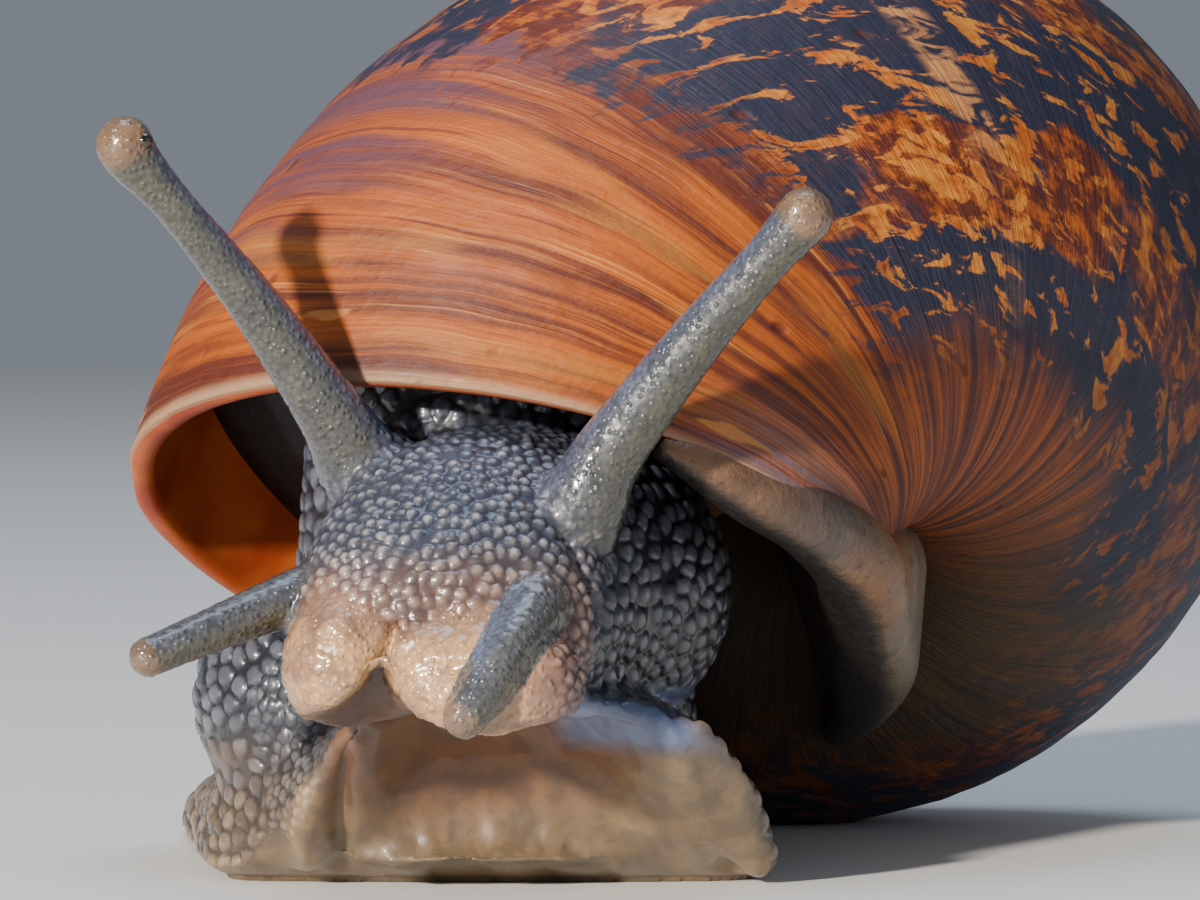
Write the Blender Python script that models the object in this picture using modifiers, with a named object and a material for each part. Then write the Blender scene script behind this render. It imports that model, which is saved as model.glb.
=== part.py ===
"""Brown garden snail (Cornu aspersum), adult, life size, as a still museum model.

The snail crawls towards -Y on the floor z = 0, with its head raised and turned a
little to its right. Lengths are in millimetres until a mesh is made. The origin is
the middle of the sole's flat.
"""

import math

import bmesh
import bpy
import numpy as np
from mathutils import Matrix, Vector

MM = 0.001

# ---- Shell: a right-handed spiral whose section grows by WHORL_GROWTH each turn ----
WHORL_GROWTH = 2.003
WHORLS = 3.6
SECTION_LONG = 10.47  # half axes of the whorl's oval section at the lip
SECTION_SHORT = 7.80
SECTION_TILT = math.radians(28.3)  # how far the oval leans from square to the axis
SECTION_OUT = 8.88  # from the shell's axis to the oval's centre, at the lip
SECTION_DROP = 17.09  # from the apex down to the oval's centre, at the lip
LIP_LEAN = math.radians(40.8)  # the lip's plane against the shell's axis
LIP_SWING = math.radians(23.6)  # and its turn towards the columella
WALL = 0.5
COLUMELLA = 0.7  # least distance of the outer wall from the axis: closes the umbilicus
COLUMELLA_INSIDE = 2.3  # the columellar lip is the thickness between the two
COLUMELLA_ROUND = 1.6
FLARE_OUTER = 0.15  # how far the lip turns out, at the edge and at the columella
FLARE_COLUMELLA = 1.0
APEX = Vector((7.42, 6.14, 13.83))
AXIS_HEADING = math.radians(17.1)  # the spire leans back and to the animal's right
AXIS_RISE = math.radians(19.3)
AXIS_ROLL = math.radians(1.3)

# the columella's lip is folded out over the umbilicus: middle line and radii of the fold
COLUMELLAR_LIP = (
    ((6.9, -19.15, 11.12), 0.30),
    ((7.9, -18.9, 10.62), 0.55),
    ((9.2, -18.3, 9.87), 0.75),
    ((10.5, -17.2, 8.97), 0.85),
    ((12.0, -15.0, 8.05), 1.15),
    ((12.5, -12.6, 6.42), 1.0),
    ((12.8, -9.8, 5.07), 1.0),
    ((12.4, -7.2, 3.87), 0.8),
    ((11.9, -5.6, 3.07), 0.5),
)
FOLD_FREE = 4  # the first of its points that stands clear of the whorl's wall
PILLAR = ((13.0, 1.2), (16.0, 1.4), (18.6, 1.4))  # the columella: depth, radius

STEPS = 39  # rows of facets in one turn
LEAD_STEPS = 7  # rows by which the lip runs ahead at the suture
BAND_COLUMNS = 7  # facets across the strip that stays bare between two sutures
CAVITY_ROWS = 11

# ---- Mantle collar: the body in the last whorl, from a little way behind the lip ----
COLLAR_FRONT = -0.24  # radians behind the lip
COLLAR_BACK = -1.4
COLLAR_RINGS = 8
COLLAR_GAP = 0.4

# ---- Body. Each row of a table is one section, and the rows between are smooth ----
# foot: y, middle x, half width, height of the sole, height of the back over the sole
FOOT = (
    (-21.4, 3.4, 3.0, 4.22, 0.90),
    (-20.7, 3.4, 4.2, 3.62, 1.70),
    (-19.2, 3.5, 5.0, 2.42, 3.00),
    (-17.5, 3.3, 6.0, 1.02, 4.40),
    (-15.5, 2.8, 6.9, 0.00, 5.27),
    (-13.5, 2.6, 7.3, 0.00, 5.07),
    (-10.0, 2.1, 7.1, 0.00, 4.27),
    (-6.0, 0.6, 6.2, 0.00, 3.07),
    (-3.0, -0.4, 5.4, 0.00, 2.57),
    (0.0, -0.8, 4.7, 0.00, 2.47),
    (6.0, 0.1, 3.6, 0.00, 2.27),
    (14.0, 1.7, 2.1, 0.00, 1.53),
    (18.5, 2.5, 1.2, 0.00, 0.94),
    (21.0, 2.8, 0.5, 0.00, 0.42),
)
# head and neck: y, middle x, middle z, half width, half height
HEAD = (
    (-23.9, 1.6, 5.97, 1.2, 0.9),
    (-23.4, 1.6, 6.07, 2.4, 1.8),
    (-22.6, 1.7, 6.47, 3.3, 2.6),
    (-21.3, 1.95, 7.07, 3.8, 3.25),
    (-20.0, 2.3, 7.47, 4.05, 3.7),
    (-18.0, 2.9, 7.47, 4.45, 4.0),
    (-16.0, 3.4, 7.37, 5.0, 4.2),
    (-13.0, 3.5, 7.27, 5.2, 4.5),
    (-10.3, 2.6, 7.17, 4.5, 4.2),
    (-8.8, 2.0, 6.97, 3.0, 3.0),
)
# stalk that rises into the shell: z, middle x, middle y, half length in x and in y
STALK = (
    (0.67, 2.3, -12.0, 6.2, 6.2),
    (3.67, 2.4, -12.2, 5.6, 5.8),
    (6.67, 2.6, -12.6, 5.0, 5.3),
    (9.67, 2.5, -12.8, 4.6, 4.6),
    (12.67, 2.3, -12.5, 4.2, 4.2),
    (16.17, 1.9, -12.0, 3.8, 3.8),
)
FLANK = ((-1.2, -13.0, 4.4), (3.7, 4.5, 3.4))  # full side of the foot: middle, half axes
LIP_LOBES = {  # middle, half axes
    "lip_right": ((-0.6, -22.4, 5.92), (1.55, 1.5, 1.75)),
    "lip_left": ((2.6, -23.2, 5.52), (2.55, 1.6, 1.75)),
}
# feelers: the points of the middle line with their radii, the last being the tip
FEELERS = {
    "upper_tentacle_right": (
        ((0.9, -18.0, 9.27), 1.5),
        ((-0.45, -18.5, 10.77), 1.12),
        ((-1.1, -19.0, 11.87), 0.86),
        ((-3.0, -20.0, 14.67), 0.64),
        ((-4.8, -21.0, 16.97), 0.52),
        ((-5.7, -21.4, 18.02), 0.66),
        ((-5.95, -21.55, 18.42), 0.72),
    ),
    "upper_tentacle_left": (
        ((4.0, -19.0, 8.27), 1.6),
        ((5.0, -20.5, 9.57), 1.15),
        ((5.75, -20.8, 11.02), 0.88),
        ((7.65, -21.5, 13.52), 0.70),
        ((9.4, -22.2, 15.57), 0.60),
        ((10.1, -22.45, 16.37), 0.66),
        ((10.4, -22.55, 16.72), 0.70),
    ),
    "lower_tentacle_right": (
        ((0.4, -20.2, 7.77), 0.95),
        ((-1.3, -21.0, 7.67), 0.74),
        ((-3.3, -22.0, 6.97), 0.58),
        ((-5.0, -22.9, 6.29), 0.50),
        ((-5.3, -23.05, 6.17), 0.50),
    ),
    "lower_tentacle_left": (
        ((4.2, -21.0, 7.87), 0.95),
        ((3.9, -22.8, 7.27), 0.76),
        ((3.25, -24.05, 6.27), 0.64),
        ((2.5, -24.75, 5.12), 0.56),
        ((2.3, -24.85, 4.87), 0.54),
    ),
}
EYE_RADIUS = 0.22
FRINGE = 0.5  # thickness of the foot along its sides
EYES = {  # on the end bulb of each upper feeler
    "eye_right": (-5.45, -21.87, 18.51),
    "eye_left": (9.97, -22.18, 16.82),
}
CUT = 0.16  # gap left by each cut between two parts of the flesh
VOXEL = 0.30
FLESH_FACETS = 2560
FLAT_SOLE = 0.12  # flesh below this height is laid flat on the floor
FLAT_SHELL = 0.06  # and so is the shell, where it rests beside the foot

COLOURS = {  # base colour, roughness
    "shell": ((0.36, 0.15, 0.045), 0.35),
    "mantle_collar": ((0.10, 0.09, 0.08), 0.35),
    "flesh": ((0.12, 0.13, 0.15), 0.40),
    "lips": ((0.55, 0.42, 0.30), 0.35),
    "eye": ((0.01, 0.01, 0.012), 0.10),
}


# ---------------------------------------------------------------- scene helpers
def clear_scene():
    for old in list(bpy.data.objects):
        bpy.data.objects.remove(old, do_unlink=True)


def collection(name):
    made = bpy.data.collections.new(name)
    bpy.context.scene.collection.children.link(made)
    return made


def material(name):
    colour, roughness = COLOURS[name]
    made = bpy.data.materials.new(name)
    made.use_nodes = True
    shader = made.node_tree.nodes["Principled BSDF"]
    shader.inputs["Base Color"].default_value = (*colour, 1.0)
    shader.inputs["Roughness"].default_value = roughness
    shader.inputs["Metallic"].default_value = 0.0
    return made


def mesh_object(name, verts_mm, faces, home):
    mesh = bpy.data.meshes.new(name)
    mesh.from_pydata([tuple(MM * float(c) for c in v) for v in verts_mm], [], faces)
    mesh.validate()
    made = bpy.data.objects.new(name, mesh)
    home.objects.link(made)
    face_out(made)
    return made


def face_out(obj):
    work = bmesh.new()
    work.from_mesh(obj.data)
    bmesh.ops.recalc_face_normals(work, faces=work.faces)
    if work.calc_volume(signed=True) < 0:
        bmesh.ops.reverse_faces(work, faces=work.faces)
    work.to_mesh(obj.data)
    work.free()


def freeze(obj):
    """Turns the object, with its modifiers, into a plain mesh object of that name."""
    bpy.context.view_layer.update()
    graph = bpy.context.evaluated_depsgraph_get()
    evaluated = obj.evaluated_get(graph)
    mesh = bpy.data.meshes.new_from_object(evaluated, depsgraph=graph)
    mesh.transform(obj.matrix_world)
    name, home = obj.name, obj.users_collection[0]
    bpy.data.objects.remove(obj, do_unlink=True)
    mesh.name = name
    made = bpy.data.objects.new(name, mesh)
    home.objects.link(made)
    return made


def boolean(obj, other, operation, solver="EXACT"):
    cut = obj.modifiers.new(operation.lower(), "BOOLEAN")
    cut.operation = operation
    cut.object = other
    cut.solver = solver
    return freeze(obj)


def copy_of(obj, name):
    made = bpy.data.objects.new(name, obj.data.copy())
    obj.users_collection[0].objects.link(made)
    return made


# ---------------------------------------------------------------- shell
GROWTH = math.log(WHORL_GROWTH) / math.tau
LIP_NORMAL = np.array(
    (
        math.sin(LIP_SWING) * math.cos(LIP_LEAN),
        -math.cos(LIP_SWING) * math.cos(LIP_LEAN),
        -math.sin(LIP_LEAN),
    )
)


def shell_frame():
    """The shell's own axes in the world: x to the lip, z from base to apex."""
    axis = Vector(
        (
            -math.sin(AXIS_HEADING) * math.cos(AXIS_RISE),
            math.cos(AXIS_HEADING) * math.cos(AXIS_RISE),
            math.sin(AXIS_RISE),
        )
    )
    level = Vector((-math.cos(AXIS_HEADING), -math.sin(AXIS_HEADING), 0.0))
    out = level * math.cos(AXIS_ROLL) + axis.cross(level) * math.sin(AXIS_ROLL)
    side = axis.cross(out)
    frame = Matrix((out, side, axis)).transposed().to_4x4()
    frame.translation = APEX
    return frame


FRAME = shell_frame()


def soft_floor(value, least):
    return least + 0.5 * (value - least + math.hypot(value - least, COLUMELLA_ROUND))


def section(phi, inset=0.0, least=COLUMELLA):
    """Distance from the axis and height of the whorl's oval at the lip, at angle phi."""
    u = (SECTION_LONG - inset) * math.cos(phi)
    v = (SECTION_SHORT - inset) * math.sin(phi)
    c, s = math.cos(SECTION_TILT), math.sin(SECTION_TILT)
    return soft_floor(SECTION_OUT + u * c - v * s, least), -SECTION_DROP + u * s + v * c


def spiral_point(turn, r, z):
    size = math.exp(GROWTH * turn)
    return Vector((size * r * math.cos(turn), -size * r * math.sin(turn), size * z))


def oval_angle(r, z, scale):
    """How far outside the oval of an earlier turn a point lies, and at what angle."""
    dr, dz = r - SECTION_OUT * scale, z + SECTION_DROP * scale
    c, s = math.cos(SECTION_TILT), math.sin(SECTION_TILT)
    u = (dr * c + dz * s) / (SECTION_LONG * scale)
    v = (-dr * s + dz * c) / (SECTION_SHORT * scale)
    return u * u + v * v - 1.0, math.atan2(v, u)


def suture(inset=0.0):
    """Angles on the oval, and on the oval one turn earlier, where the two meet."""
    low, high = math.radians(20), math.radians(90)
    for _ in range(50):
        middle = (low + high) / 2
        if oval_angle(*section(middle, inset), 1 / WHORL_GROWTH)[0] > 0:
            low = middle
        else:
            high = middle
    return low, oval_angle(*section(low, inset), 1 / WHORL_GROWTH)[1]


PHI_SUTURE, PHI_CONTACT = suture()
PHI_INNER_CONTACT = suture(WALL)[1]
PHI_COLUMELLA = math.radians(-160)
PHI_PARIETAL_END = math.radians(-122)
LEAD = LEAD_STEPS * math.tau / STEPS


def plane_lead(phi):
    """The turn at which the lip's plane crosses the spiral at this angle."""
    centre = np.array((SECTION_OUT, 0.0, -SECTION_DROP))
    low, high = -1.2, 1.4
    for _ in range(40):
        middle = (low + high) / 2
        point = np.array(spiral_point(middle, *section(phi)))
        if (point - centre) @ LIP_NORMAL > 0:
            high = middle
        else:
            low = middle
    return low


def lip_lead(phi):
    """As plane_lead, made to close on itself one turn back along the suture."""
    phi = max(phi, math.radians(-150))
    lead = plane_lead(min(phi, PHI_SUTURE))
    if phi <= PHI_CONTACT:
        return lead
    miss = LEAD - (plane_lead(PHI_SUTURE) - plane_lead(PHI_CONTACT))
    return lead + miss * (phi - PHI_CONTACT) / (PHI_SUTURE - PHI_CONTACT)


def shell_point(tau, phi, inset=0.0, least=COLUMELLA):
    return FRAME @ spiral_point(tau + lip_lead(phi), *section(phi, inset, least))


def flare(phi):
    """How far the lip turns outwards: most where it is folded over the umbilicus."""
    inward = min(max((-phi - math.radians(80)) / math.radians(70), 0.0), 1.0)
    return FLARE_OUTER + (FLARE_COLUMELLA - FLARE_OUTER) * inward * inward * (3 - 2 * inward)


def shell_columns():
    bare = np.linspace(PHI_SUTURE, PHI_CONTACT, BAND_COLUMNS + 1)
    base = np.radians((-60, -75, -90, -106, -122, -136, -148, -160))
    return [*bare, PHI_INNER_CONTACT, *base]


def make_shell(home):
    columns = shell_columns()
    last = len(columns) - 1
    contact, inner_contact = BAND_COLUMNS, BAND_COLUMNS + 1
    parietal_end = last - 3
    rows = round(WHORLS * STEPS)
    back = STEPS - LEAD_STEPS  # rows from the lip back to the parietal edge
    step = math.tau / STEPS
    verts, faces, index = [], [], {}

    def outer(i, j):
        if j == 0 and i >= back:
            return outer(i - back, contact)
        if (i, j) not in index:
            phi = columns[j]
            point = shell_point((i - rows) * step, phi)
            if i == rows:
                middle = FRAME @ spiral_point(
                    (i - rows) * step + lip_lead(phi), SECTION_OUT, -SECTION_DROP
                )
                point = point + (point - middle).normalized() * flare(phi)
            index[i, j] = len(verts)
            verts.append(point)
        return index[i, j]

    inner_columns = columns[1:contact] + columns[contact:]
    inner_columns.pop(inner_columns.index(PHI_INNER_CONTACT))
    inner_columns += list(np.radians((-180, -200, -218, -234)))
    inside = {}

    def inner(i, j):
        """Column 0 and the last one are the parietal wall's own edges."""
        if j == 0:
            return outer(i - back, inner_contact)
        if j == len(inner_columns) + 1:
            return outer(i - back, parietal_end)
        if (i, j) not in inside:
            inside[i, j] = len(verts)
            verts.append(
                shell_point((i - rows) * step, inner_columns[j - 1], WALL, COLUMELLA_INSIDE)
            )
        return inside[i, j]

    def quad(a, b, c, d):
        ring = [v for k, v in enumerate((a, b, c, d)) if v not in (a, b, c, d)[:k]]
        faces.append(tuple(ring))

    for i in range(rows):  # the strip between two sutures, from the apex to the lip
        for j in range(contact):
            quad(outer(i, j), outer(i, j + 1), outer(i + 1, j + 1), outer(i + 1, j))
    for i in range(rows - back, rows):  # the base of the last turn
        for j in range(contact, last):
            quad(outer(i, j), outer(i, j + 1), outer(i + 1, j + 1), outer(i + 1, j))
    deep = rows - CAVITY_ROWS
    for i in range(deep, rows):  # inside: the parietal wall, then the whorl's wall
        for j in range(inner_contact, parietal_end):
            a, b = i - back, i - back + 1
            quad(outer(a, j), outer(b, j), outer(b, j + 1), outer(a, j + 1))
        for j in range(len(inner_columns) + 1):
            quad(inner(i, j), inner(i + 1, j), inner(i + 1, j + 1), inner(i, j + 1))
    # the lip's edge, between the outer and the inner wall
    outer_edge = [outer(rows, j) for j in range(last + 1) if j != inner_contact]
    inner_edge = [inner(rows, j) for j in range(len(outer_edge))]
    for k in range(len(outer_edge) - 1):
        quad(outer_edge[k], outer_edge[k + 1], inner_edge[k + 1], inner_edge[k])
    # outer(rows, inner_contact) closes the step where that column has no inner twin
    verts_flap = outer(rows, inner_contact)
    for k, face in enumerate(faces):
        pair = (outer(rows, contact), outer(rows, contact + 2))
        if set(pair) <= set(face) and verts_flap not in face:
            at = face.index(pair[0])
            faces[k] = (*face[: at + 1], verts_flap, *face[at + 1 :])
    # the free edge of the columella, between its outer and its inner side
    inner_side = [inner(rows, j) for j in range(len(outer_edge) - 1, len(inner_columns) + 2)]
    outer_side = [outer_edge[-1]]
    outer_side += [outer(rows - back, j) for j in range(last, parietal_end - 1, -1)]
    bridge(faces, outer_side, inner_side)
    # the umbilicus, closed along the spiral
    seam = [outer(rows - back + k, last) for k in range(back + 1)]
    for k in range(back // 2):
        quad(seam[k], seam[k + 1], seam[back - k - 1], seam[back - k])
    # the back of the cavity, and the apex
    ring = [outer(deep - back, j) for j in range(inner_contact, parietal_end)]
    ring += [inner(deep, j) for j in range(len(inner_columns) + 1, 0, -1)]
    fan(verts, faces, ring, 0.0)
    ring = [outer(0, j) for j in range(contact)] + [outer(i, 0) for i in range(back, 0, -1)]
    fan(verts, faces, ring, 0.25)
    return mesh_object("shell", verts, faces, home)


def bridge(faces, first, second):
    """Triangles between two lines of points that end in the same point."""
    a = b = 0
    while a < len(first) - 2 or b < len(second) - 2:
        if b >= len(second) - 2 or (a < len(first) - 2 and (a + 1) * len(second) < (b + 1) * len(first)):
            faces.append((first[a], first[a + 1], second[b]))
            a += 1
        else:
            faces.append((first[a], second[b + 1], second[b]))
            b += 1
    faces.append((first[-2], first[-1], second[-2]))


def fan(verts, faces, ring, raised):
    """Closes a ring with triangles to its middle, raised along the shell's axis."""
    middle = sum((verts[v] for v in ring), Vector()) / len(ring)
    verts.append(middle + FRAME.to_3x3() @ Vector((0.0, 0.0, raised)))
    for k, v in enumerate(ring):
        faces.append((v, ring[(k + 1) % len(ring)], len(verts) - 1))


def cavity_ring(tau, gap):
    """The outline of the whorl's hollow at one row, drawn in by gap."""
    phis = np.linspace(PHI_SUTURE - math.radians(14), math.radians(-178), 20)
    ring = [shell_point(tau, phi, WALL + gap, COLUMELLA_INSIDE + gap) for phi in phis]
    out = 1.0 + gap * WHORL_GROWTH / SECTION_SHORT
    for phi in np.radians((-112, -100, -88, -76, -64)):
        r, z = section(phi)
        r = SECTION_OUT + (r - SECTION_OUT) * out
        z = -SECTION_DROP + (z + SECTION_DROP) * out
        ring.append(FRAME @ spiral_point(tau - math.tau + LEAD + lip_lead(phi), r, z))
    return ring


def make_collar(home):
    turns = np.linspace(COLLAR_BACK, COLLAR_FRONT, COLLAR_RINGS)
    rings = [cavity_ring(tau, COLLAR_GAP) for tau in turns]
    verts = [v for ring in rings for v in ring]
    n = len(rings[0])
    faces = []
    for i in range(len(rings) - 1):
        for k in range(n):
            a, b = i * n + k, i * n + (k + 1) % n
            faces.append((a, b, b + n, a + n))
    fan(verts, faces, list(range(n)), 0.0)
    fan(verts, faces, list(range((len(rings) - 1) * n, len(rings) * n)), 0.0)
    return mesh_object("mantle_collar", verts, faces, home)


# ---------------------------------------------------------------- flesh
def smooth_rows(table, count):
    """Reads a table of sections at even steps of its first column, smoothly."""
    rows = np.array(table, float)
    at = rows[:, 0]
    slopes = np.gradient(rows, at, axis=0)
    out = []
    for t in np.linspace(at[0], at[-1], count):
        k = min(max(int(np.searchsorted(at, t)) - 1, 0), len(at) - 2)
        h = at[k + 1] - at[k]
        s = (t - at[k]) / h
        out.append(
            (2 * s**3 - 3 * s**2 + 1) * rows[k]
            + (s**3 - 2 * s**2 + s) * h * slopes[k]
            + (-2 * s**3 + 3 * s**2) * rows[k + 1]
            + (s**3 - s**2) * h * slopes[k + 1]
        )
    return out


def loft(name, rings, home):
    """A closed skin through rings of the same count of points."""
    verts = [v for ring in rings for v in ring]
    n = len(rings[0])
    faces = [tuple(range(n)), tuple(range((len(rings) - 1) * n, len(rings) * n))]
    for i in range(len(rings) - 1):
        for k in range(n):
            a, b = i * n + k, i * n + (k + 1) % n
            faces.append((a, b, b + n, a + n))
    return mesh_object(name, verts, faces, home)


def foot_ring(y, x, half, sole, height, count=40):
    """A flat sole with a domed back that thins out to the fringe."""
    fringe = min(FRINGE, 0.4 * height)
    ring = []
    for k in range(count):
        turn = math.tau * k / count
        u, v = math.cos(turn), math.sin(turn)
        if v < 0:
            z = sole + fringe * (1.0 - math.sqrt(-v))
        else:
            z = sole + fringe + (height - fringe) * v**1.1
        ring.append((x + half * math.copysign(abs(u) ** 0.85, u), y, z))
    return ring


def oval_ring(centre, half_u, half_v, u, v, count=36):
    ring = []
    for k in range(count):
        turn = math.tau * k / count
        ring.append(Vector(centre) + u * half_u * math.cos(turn) + v * half_v * math.sin(turn))
    return ring


def ball(name, centre, axes, home, around=24):
    work = bmesh.new()
    bmesh.ops.create_uvsphere(work, u_segments=around, v_segments=around // 2, radius=MM)
    mesh = bpy.data.meshes.new(name)
    work.to_mesh(mesh)
    work.free()
    mesh.transform(Matrix.LocRotScale(Vector(centre) * MM, None, Vector(axes)))
    made = bpy.data.objects.new(name, mesh)
    home.objects.link(made)
    return made


def feeler(name, points, home, resolution=4, steps=5):
    """A tube of changing radius round a smooth line, with a round end."""
    curve = bpy.data.curves.new(name, "CURVE")
    curve.dimensions = "3D"
    curve.bevel_depth = MM
    curve.bevel_resolution = resolution
    curve.use_fill_caps = True
    spline = curve.splines.new("POLY")
    rows = smooth_rows([(k, *p, r) for k, (p, r) in enumerate(points)], steps * len(points))
    spline.points.add(len(rows) - 1)
    for point, (_, x, y, z, r) in zip(spline.points, rows):
        point.co = (x * MM, y * MM, z * MM, 1.0)
        point.radius = r
    made = bpy.data.objects.new(name, curve)
    home.objects.link(made)
    tube = freeze(made)
    work = bmesh.new()
    work.from_mesh(tube.data)
    bmesh.ops.remove_doubles(work, verts=work.verts, dist=1e-7)
    work.to_mesh(tube.data)
    work.free()
    tip, radius = points[-1]
    end = ball(name + "_end", tip, (radius,) * 3, home, 4 + 2 * resolution)
    return [tube, end]


def hull_of(name, pieces, home):
    """One convex solid round the pieces, which it replaces."""
    solid = joined(name, pieces, home)
    work = bmesh.new()
    work.from_mesh(solid.data)
    found = bmesh.ops.convex_hull(work, input=work.verts)
    inside = {item for item in found["geom_interior"] + found["geom_unused"]}
    bmesh.ops.delete(work, geom=[v for v in inside if isinstance(v, bmesh.types.BMVert)])
    bmesh.ops.delete(work, geom=[f for f in work.faces if f not in found["geom"]], context="FACES_ONLY")
    work.to_mesh(solid.data)
    work.free()
    return solid


def fold_lip(shell, cutters):
    """Joins the fold of the columella's lip, and the columella behind it, to the shell."""
    pillar = [(FRAME @ Vector((0.0, 0.0, -depth)), radius) for depth, radius in PILLAR]
    behind = feeler("pillar", pillar, cutters, 2, 2)
    behind += feeler("fold_back", COLUMELLAR_LIP[FOLD_FREE:-1], cutters, 2, 2)
    pieces = feeler("fold", COLUMELLAR_LIP, cutters, 2, 3)
    pieces.append(hull_of("columella", behind, cutters))
    for piece in pieces:
        face_out(piece)
        hide(piece)
        shell = boolean(shell, piece, "UNION", "MANIFOLD")
        bpy.data.objects.remove(piece, do_unlink=True)
    return shell


def joined(name, pieces, home):
    work = bmesh.new()
    for piece in pieces:
        work.from_mesh(piece.data)
        bpy.data.objects.remove(piece, do_unlink=True)
    mesh = bpy.data.meshes.new(name)
    work.to_mesh(mesh)
    work.free()
    made = bpy.data.objects.new(name, mesh)
    home.objects.link(made)
    return made


def make_flesh(home):
    """The whole soft body as one skin, before it is parted."""
    pieces = [loft("foot", [foot_ring(*row) for row in smooth_rows(FOOT, 60)], home)]
    across, up = Vector((1, 0, 0)), Vector((0, 0, 1))
    rings = [
        oval_ring((x, y, z), w, h, across, up) for y, x, z, w, h in smooth_rows(HEAD, 30)
    ]
    pieces.append(loft("head", rings, home))
    along = Vector((0, 1, 0))
    rings = [
        oval_ring((x, y, z), w, d, across, along) for z, x, y, w, d in smooth_rows(STALK, 16)
    ]
    pieces.append(loft("stalk", rings, home))
    for name, (centre, axes) in (*LIP_LOBES.items(), ("flank", FLANK)):
        pieces.append(ball(name, centre, axes, home))
    for name, points in FEELERS.items():
        pieces += feeler(name, points, home)
    flesh = joined("flesh", pieces, home)
    remesh = flesh.modifiers.new("one skin", "REMESH")
    remesh.mode = "VOXEL"
    remesh.voxel_size = VOXEL * MM
    for factor in (0.5, -0.5) * 3:  # smooths the joins and keeps the feelers' size
        smooth = flesh.modifiers.new("smooth", "SMOOTH")
        smooth.factor = factor
        smooth.iterations = 2
    flesh = freeze(flesh)
    coarse = flesh.modifiers.new("facets", "DECIMATE")
    coarse.ratio = FLESH_FACETS / (2 * len(flesh.data.polygons))
    flesh = freeze(flesh)
    lay_flat(flesh, FLAT_SOLE)
    return flesh


def lay_flat(obj, under):
    for vertex in obj.data.vertices:
        if vertex.co.z < under * MM:
            vertex.co.z = 0.0


def block(name, low, high, turn=None, home=None):
    """A box between two corners, turned about its middle."""
    work = bmesh.new()
    bmesh.ops.create_cube(work, size=1.0)
    mesh = bpy.data.meshes.new(name)
    work.to_mesh(mesh)
    work.free()
    low, high = Vector(low) * MM, Vector(high) * MM
    mesh.transform(Matrix.LocRotScale((low + high) / 2, turn, high - low))
    made = bpy.data.objects.new(name, mesh)
    home.objects.link(made)
    hide(made)
    return made


def rod(name, start, end, radius, home):
    """A cylinder between two points, as a cutter round a feeler."""
    start, end = Vector(start), Vector(end)
    work = bmesh.new()
    bmesh.ops.create_cone(
        work, cap_ends=True, segments=12, radius1=radius * MM, radius2=radius * MM,
        depth=(end - start).length * MM,
    )
    mesh = bpy.data.meshes.new(name)
    work.to_mesh(mesh)
    work.free()
    turn = (end - start).to_track_quat("Z", "Y")
    mesh.transform(Matrix.LocRotScale((start + end) / 2 * MM, turn, None))
    made = bpy.data.objects.new(name, mesh)
    home.objects.link(made)
    hide(made)
    return made


def hide(obj):
    obj.hide_render = True
    obj.display_type = "WIRE"


def feeler_cut(name, grow, cutters):
    """The space round one feeler, from just off the head to past its tip."""
    points = FEELERS[name]
    base, tip = Vector(points[1][0]), Vector(points[-1][0])
    along = (tip - base).normalized()
    lift, width = (0.75, 3.0) if name.startswith("upper") else (0.75, 1.0)
    start = base + along * (lift - grow)
    return rod("cut_" + name, start, tip + along * 3.0, width + grow, cutters)


def lobe_cut(name, grow, cutters):
    """The space of one lip lobe, a little more than the lobe itself."""
    centre, axes = LIP_LOBES[name]
    cutter = ball("cut_" + name, centre, [1.08 * a + grow for a in axes], cutters, 16)
    hide(cutter)
    return cutter


def box_cut(name, grow, cutters):
    low, high = REGIONS[name]
    g = Vector((grow,) * 3)
    return block("cut_" + name, Vector(low) - g, Vector(high) + g, home=cutters)


REGIONS = {  # low and high corners of the block that holds each part of the body
    "head": ((-6.0, -30.0, 4.57), (12.0, -17.3, 20.0)),
    "neck": ((-9.0, -17.3, 4.27), (14.0, -4.0, 20.0)),
    "foot_front": ((-12.0, -30.0, -3.0), (16.0, -11.0, 10.0)),
    "foot_middle": ((-14.0, -11.0, -3.0), (16.0, 4.0, 10.0)),
    "tail": ((-14.0, 4.0, -3.0), (16.0, 30.0, 10.0)),
}


def part_flesh(flesh, cutters):
    """Parts the flesh into its named nodes with thin cuts, from the feelers inwards."""
    parts = {}
    for name in (*FEELERS, *LIP_LOBES, *REGIONS):
        make = feeler_cut if name in FEELERS else lobe_cut if name in LIP_LOBES else box_cut
        within, around = make(name, -CUT / 2, cutters), make(name, CUT / 2, cutters)
        parts[name] = boolean(copy_of(flesh, name), within, "INTERSECT")
        flesh = boolean(flesh, around, "DIFFERENCE")
        bpy.data.objects.remove(within, do_unlink=True)
        bpy.data.objects.remove(around, do_unlink=True)
    bpy.data.objects.remove(flesh, do_unlink=True)
    return parts


def trim_stalk(flesh, cutters):
    """Ends the stalk just short of the collar's front face."""
    ring = cavity_ring(COLLAR_FRONT, COLLAR_GAP)
    middle = sum(ring, Vector()) / len(ring)
    a, b = ring[2] - middle, ring[len(ring) // 2] - middle
    normal = a.cross(b).normalized()
    lip = FRAME @ Vector((SECTION_OUT, 0.0, -SECTION_DROP))
    if normal.dot(lip - middle) > 0:
        normal.negate()
    front = min(normal.dot(v - middle) for v in ring)
    block_middle = middle + normal * (8.0 + front - CUT)
    cutter = block("cut_collar", (-7, -7, -8), (7, 7, 8), home=cutters)
    turn = normal.to_track_quat("Z", "Y")
    cutter.data.transform(Matrix.LocRotScale(block_middle * MM, turn, None))
    flesh = boolean(flesh, cutter, "DIFFERENCE")
    bpy.data.objects.remove(cutter, do_unlink=True)
    return flesh


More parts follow.
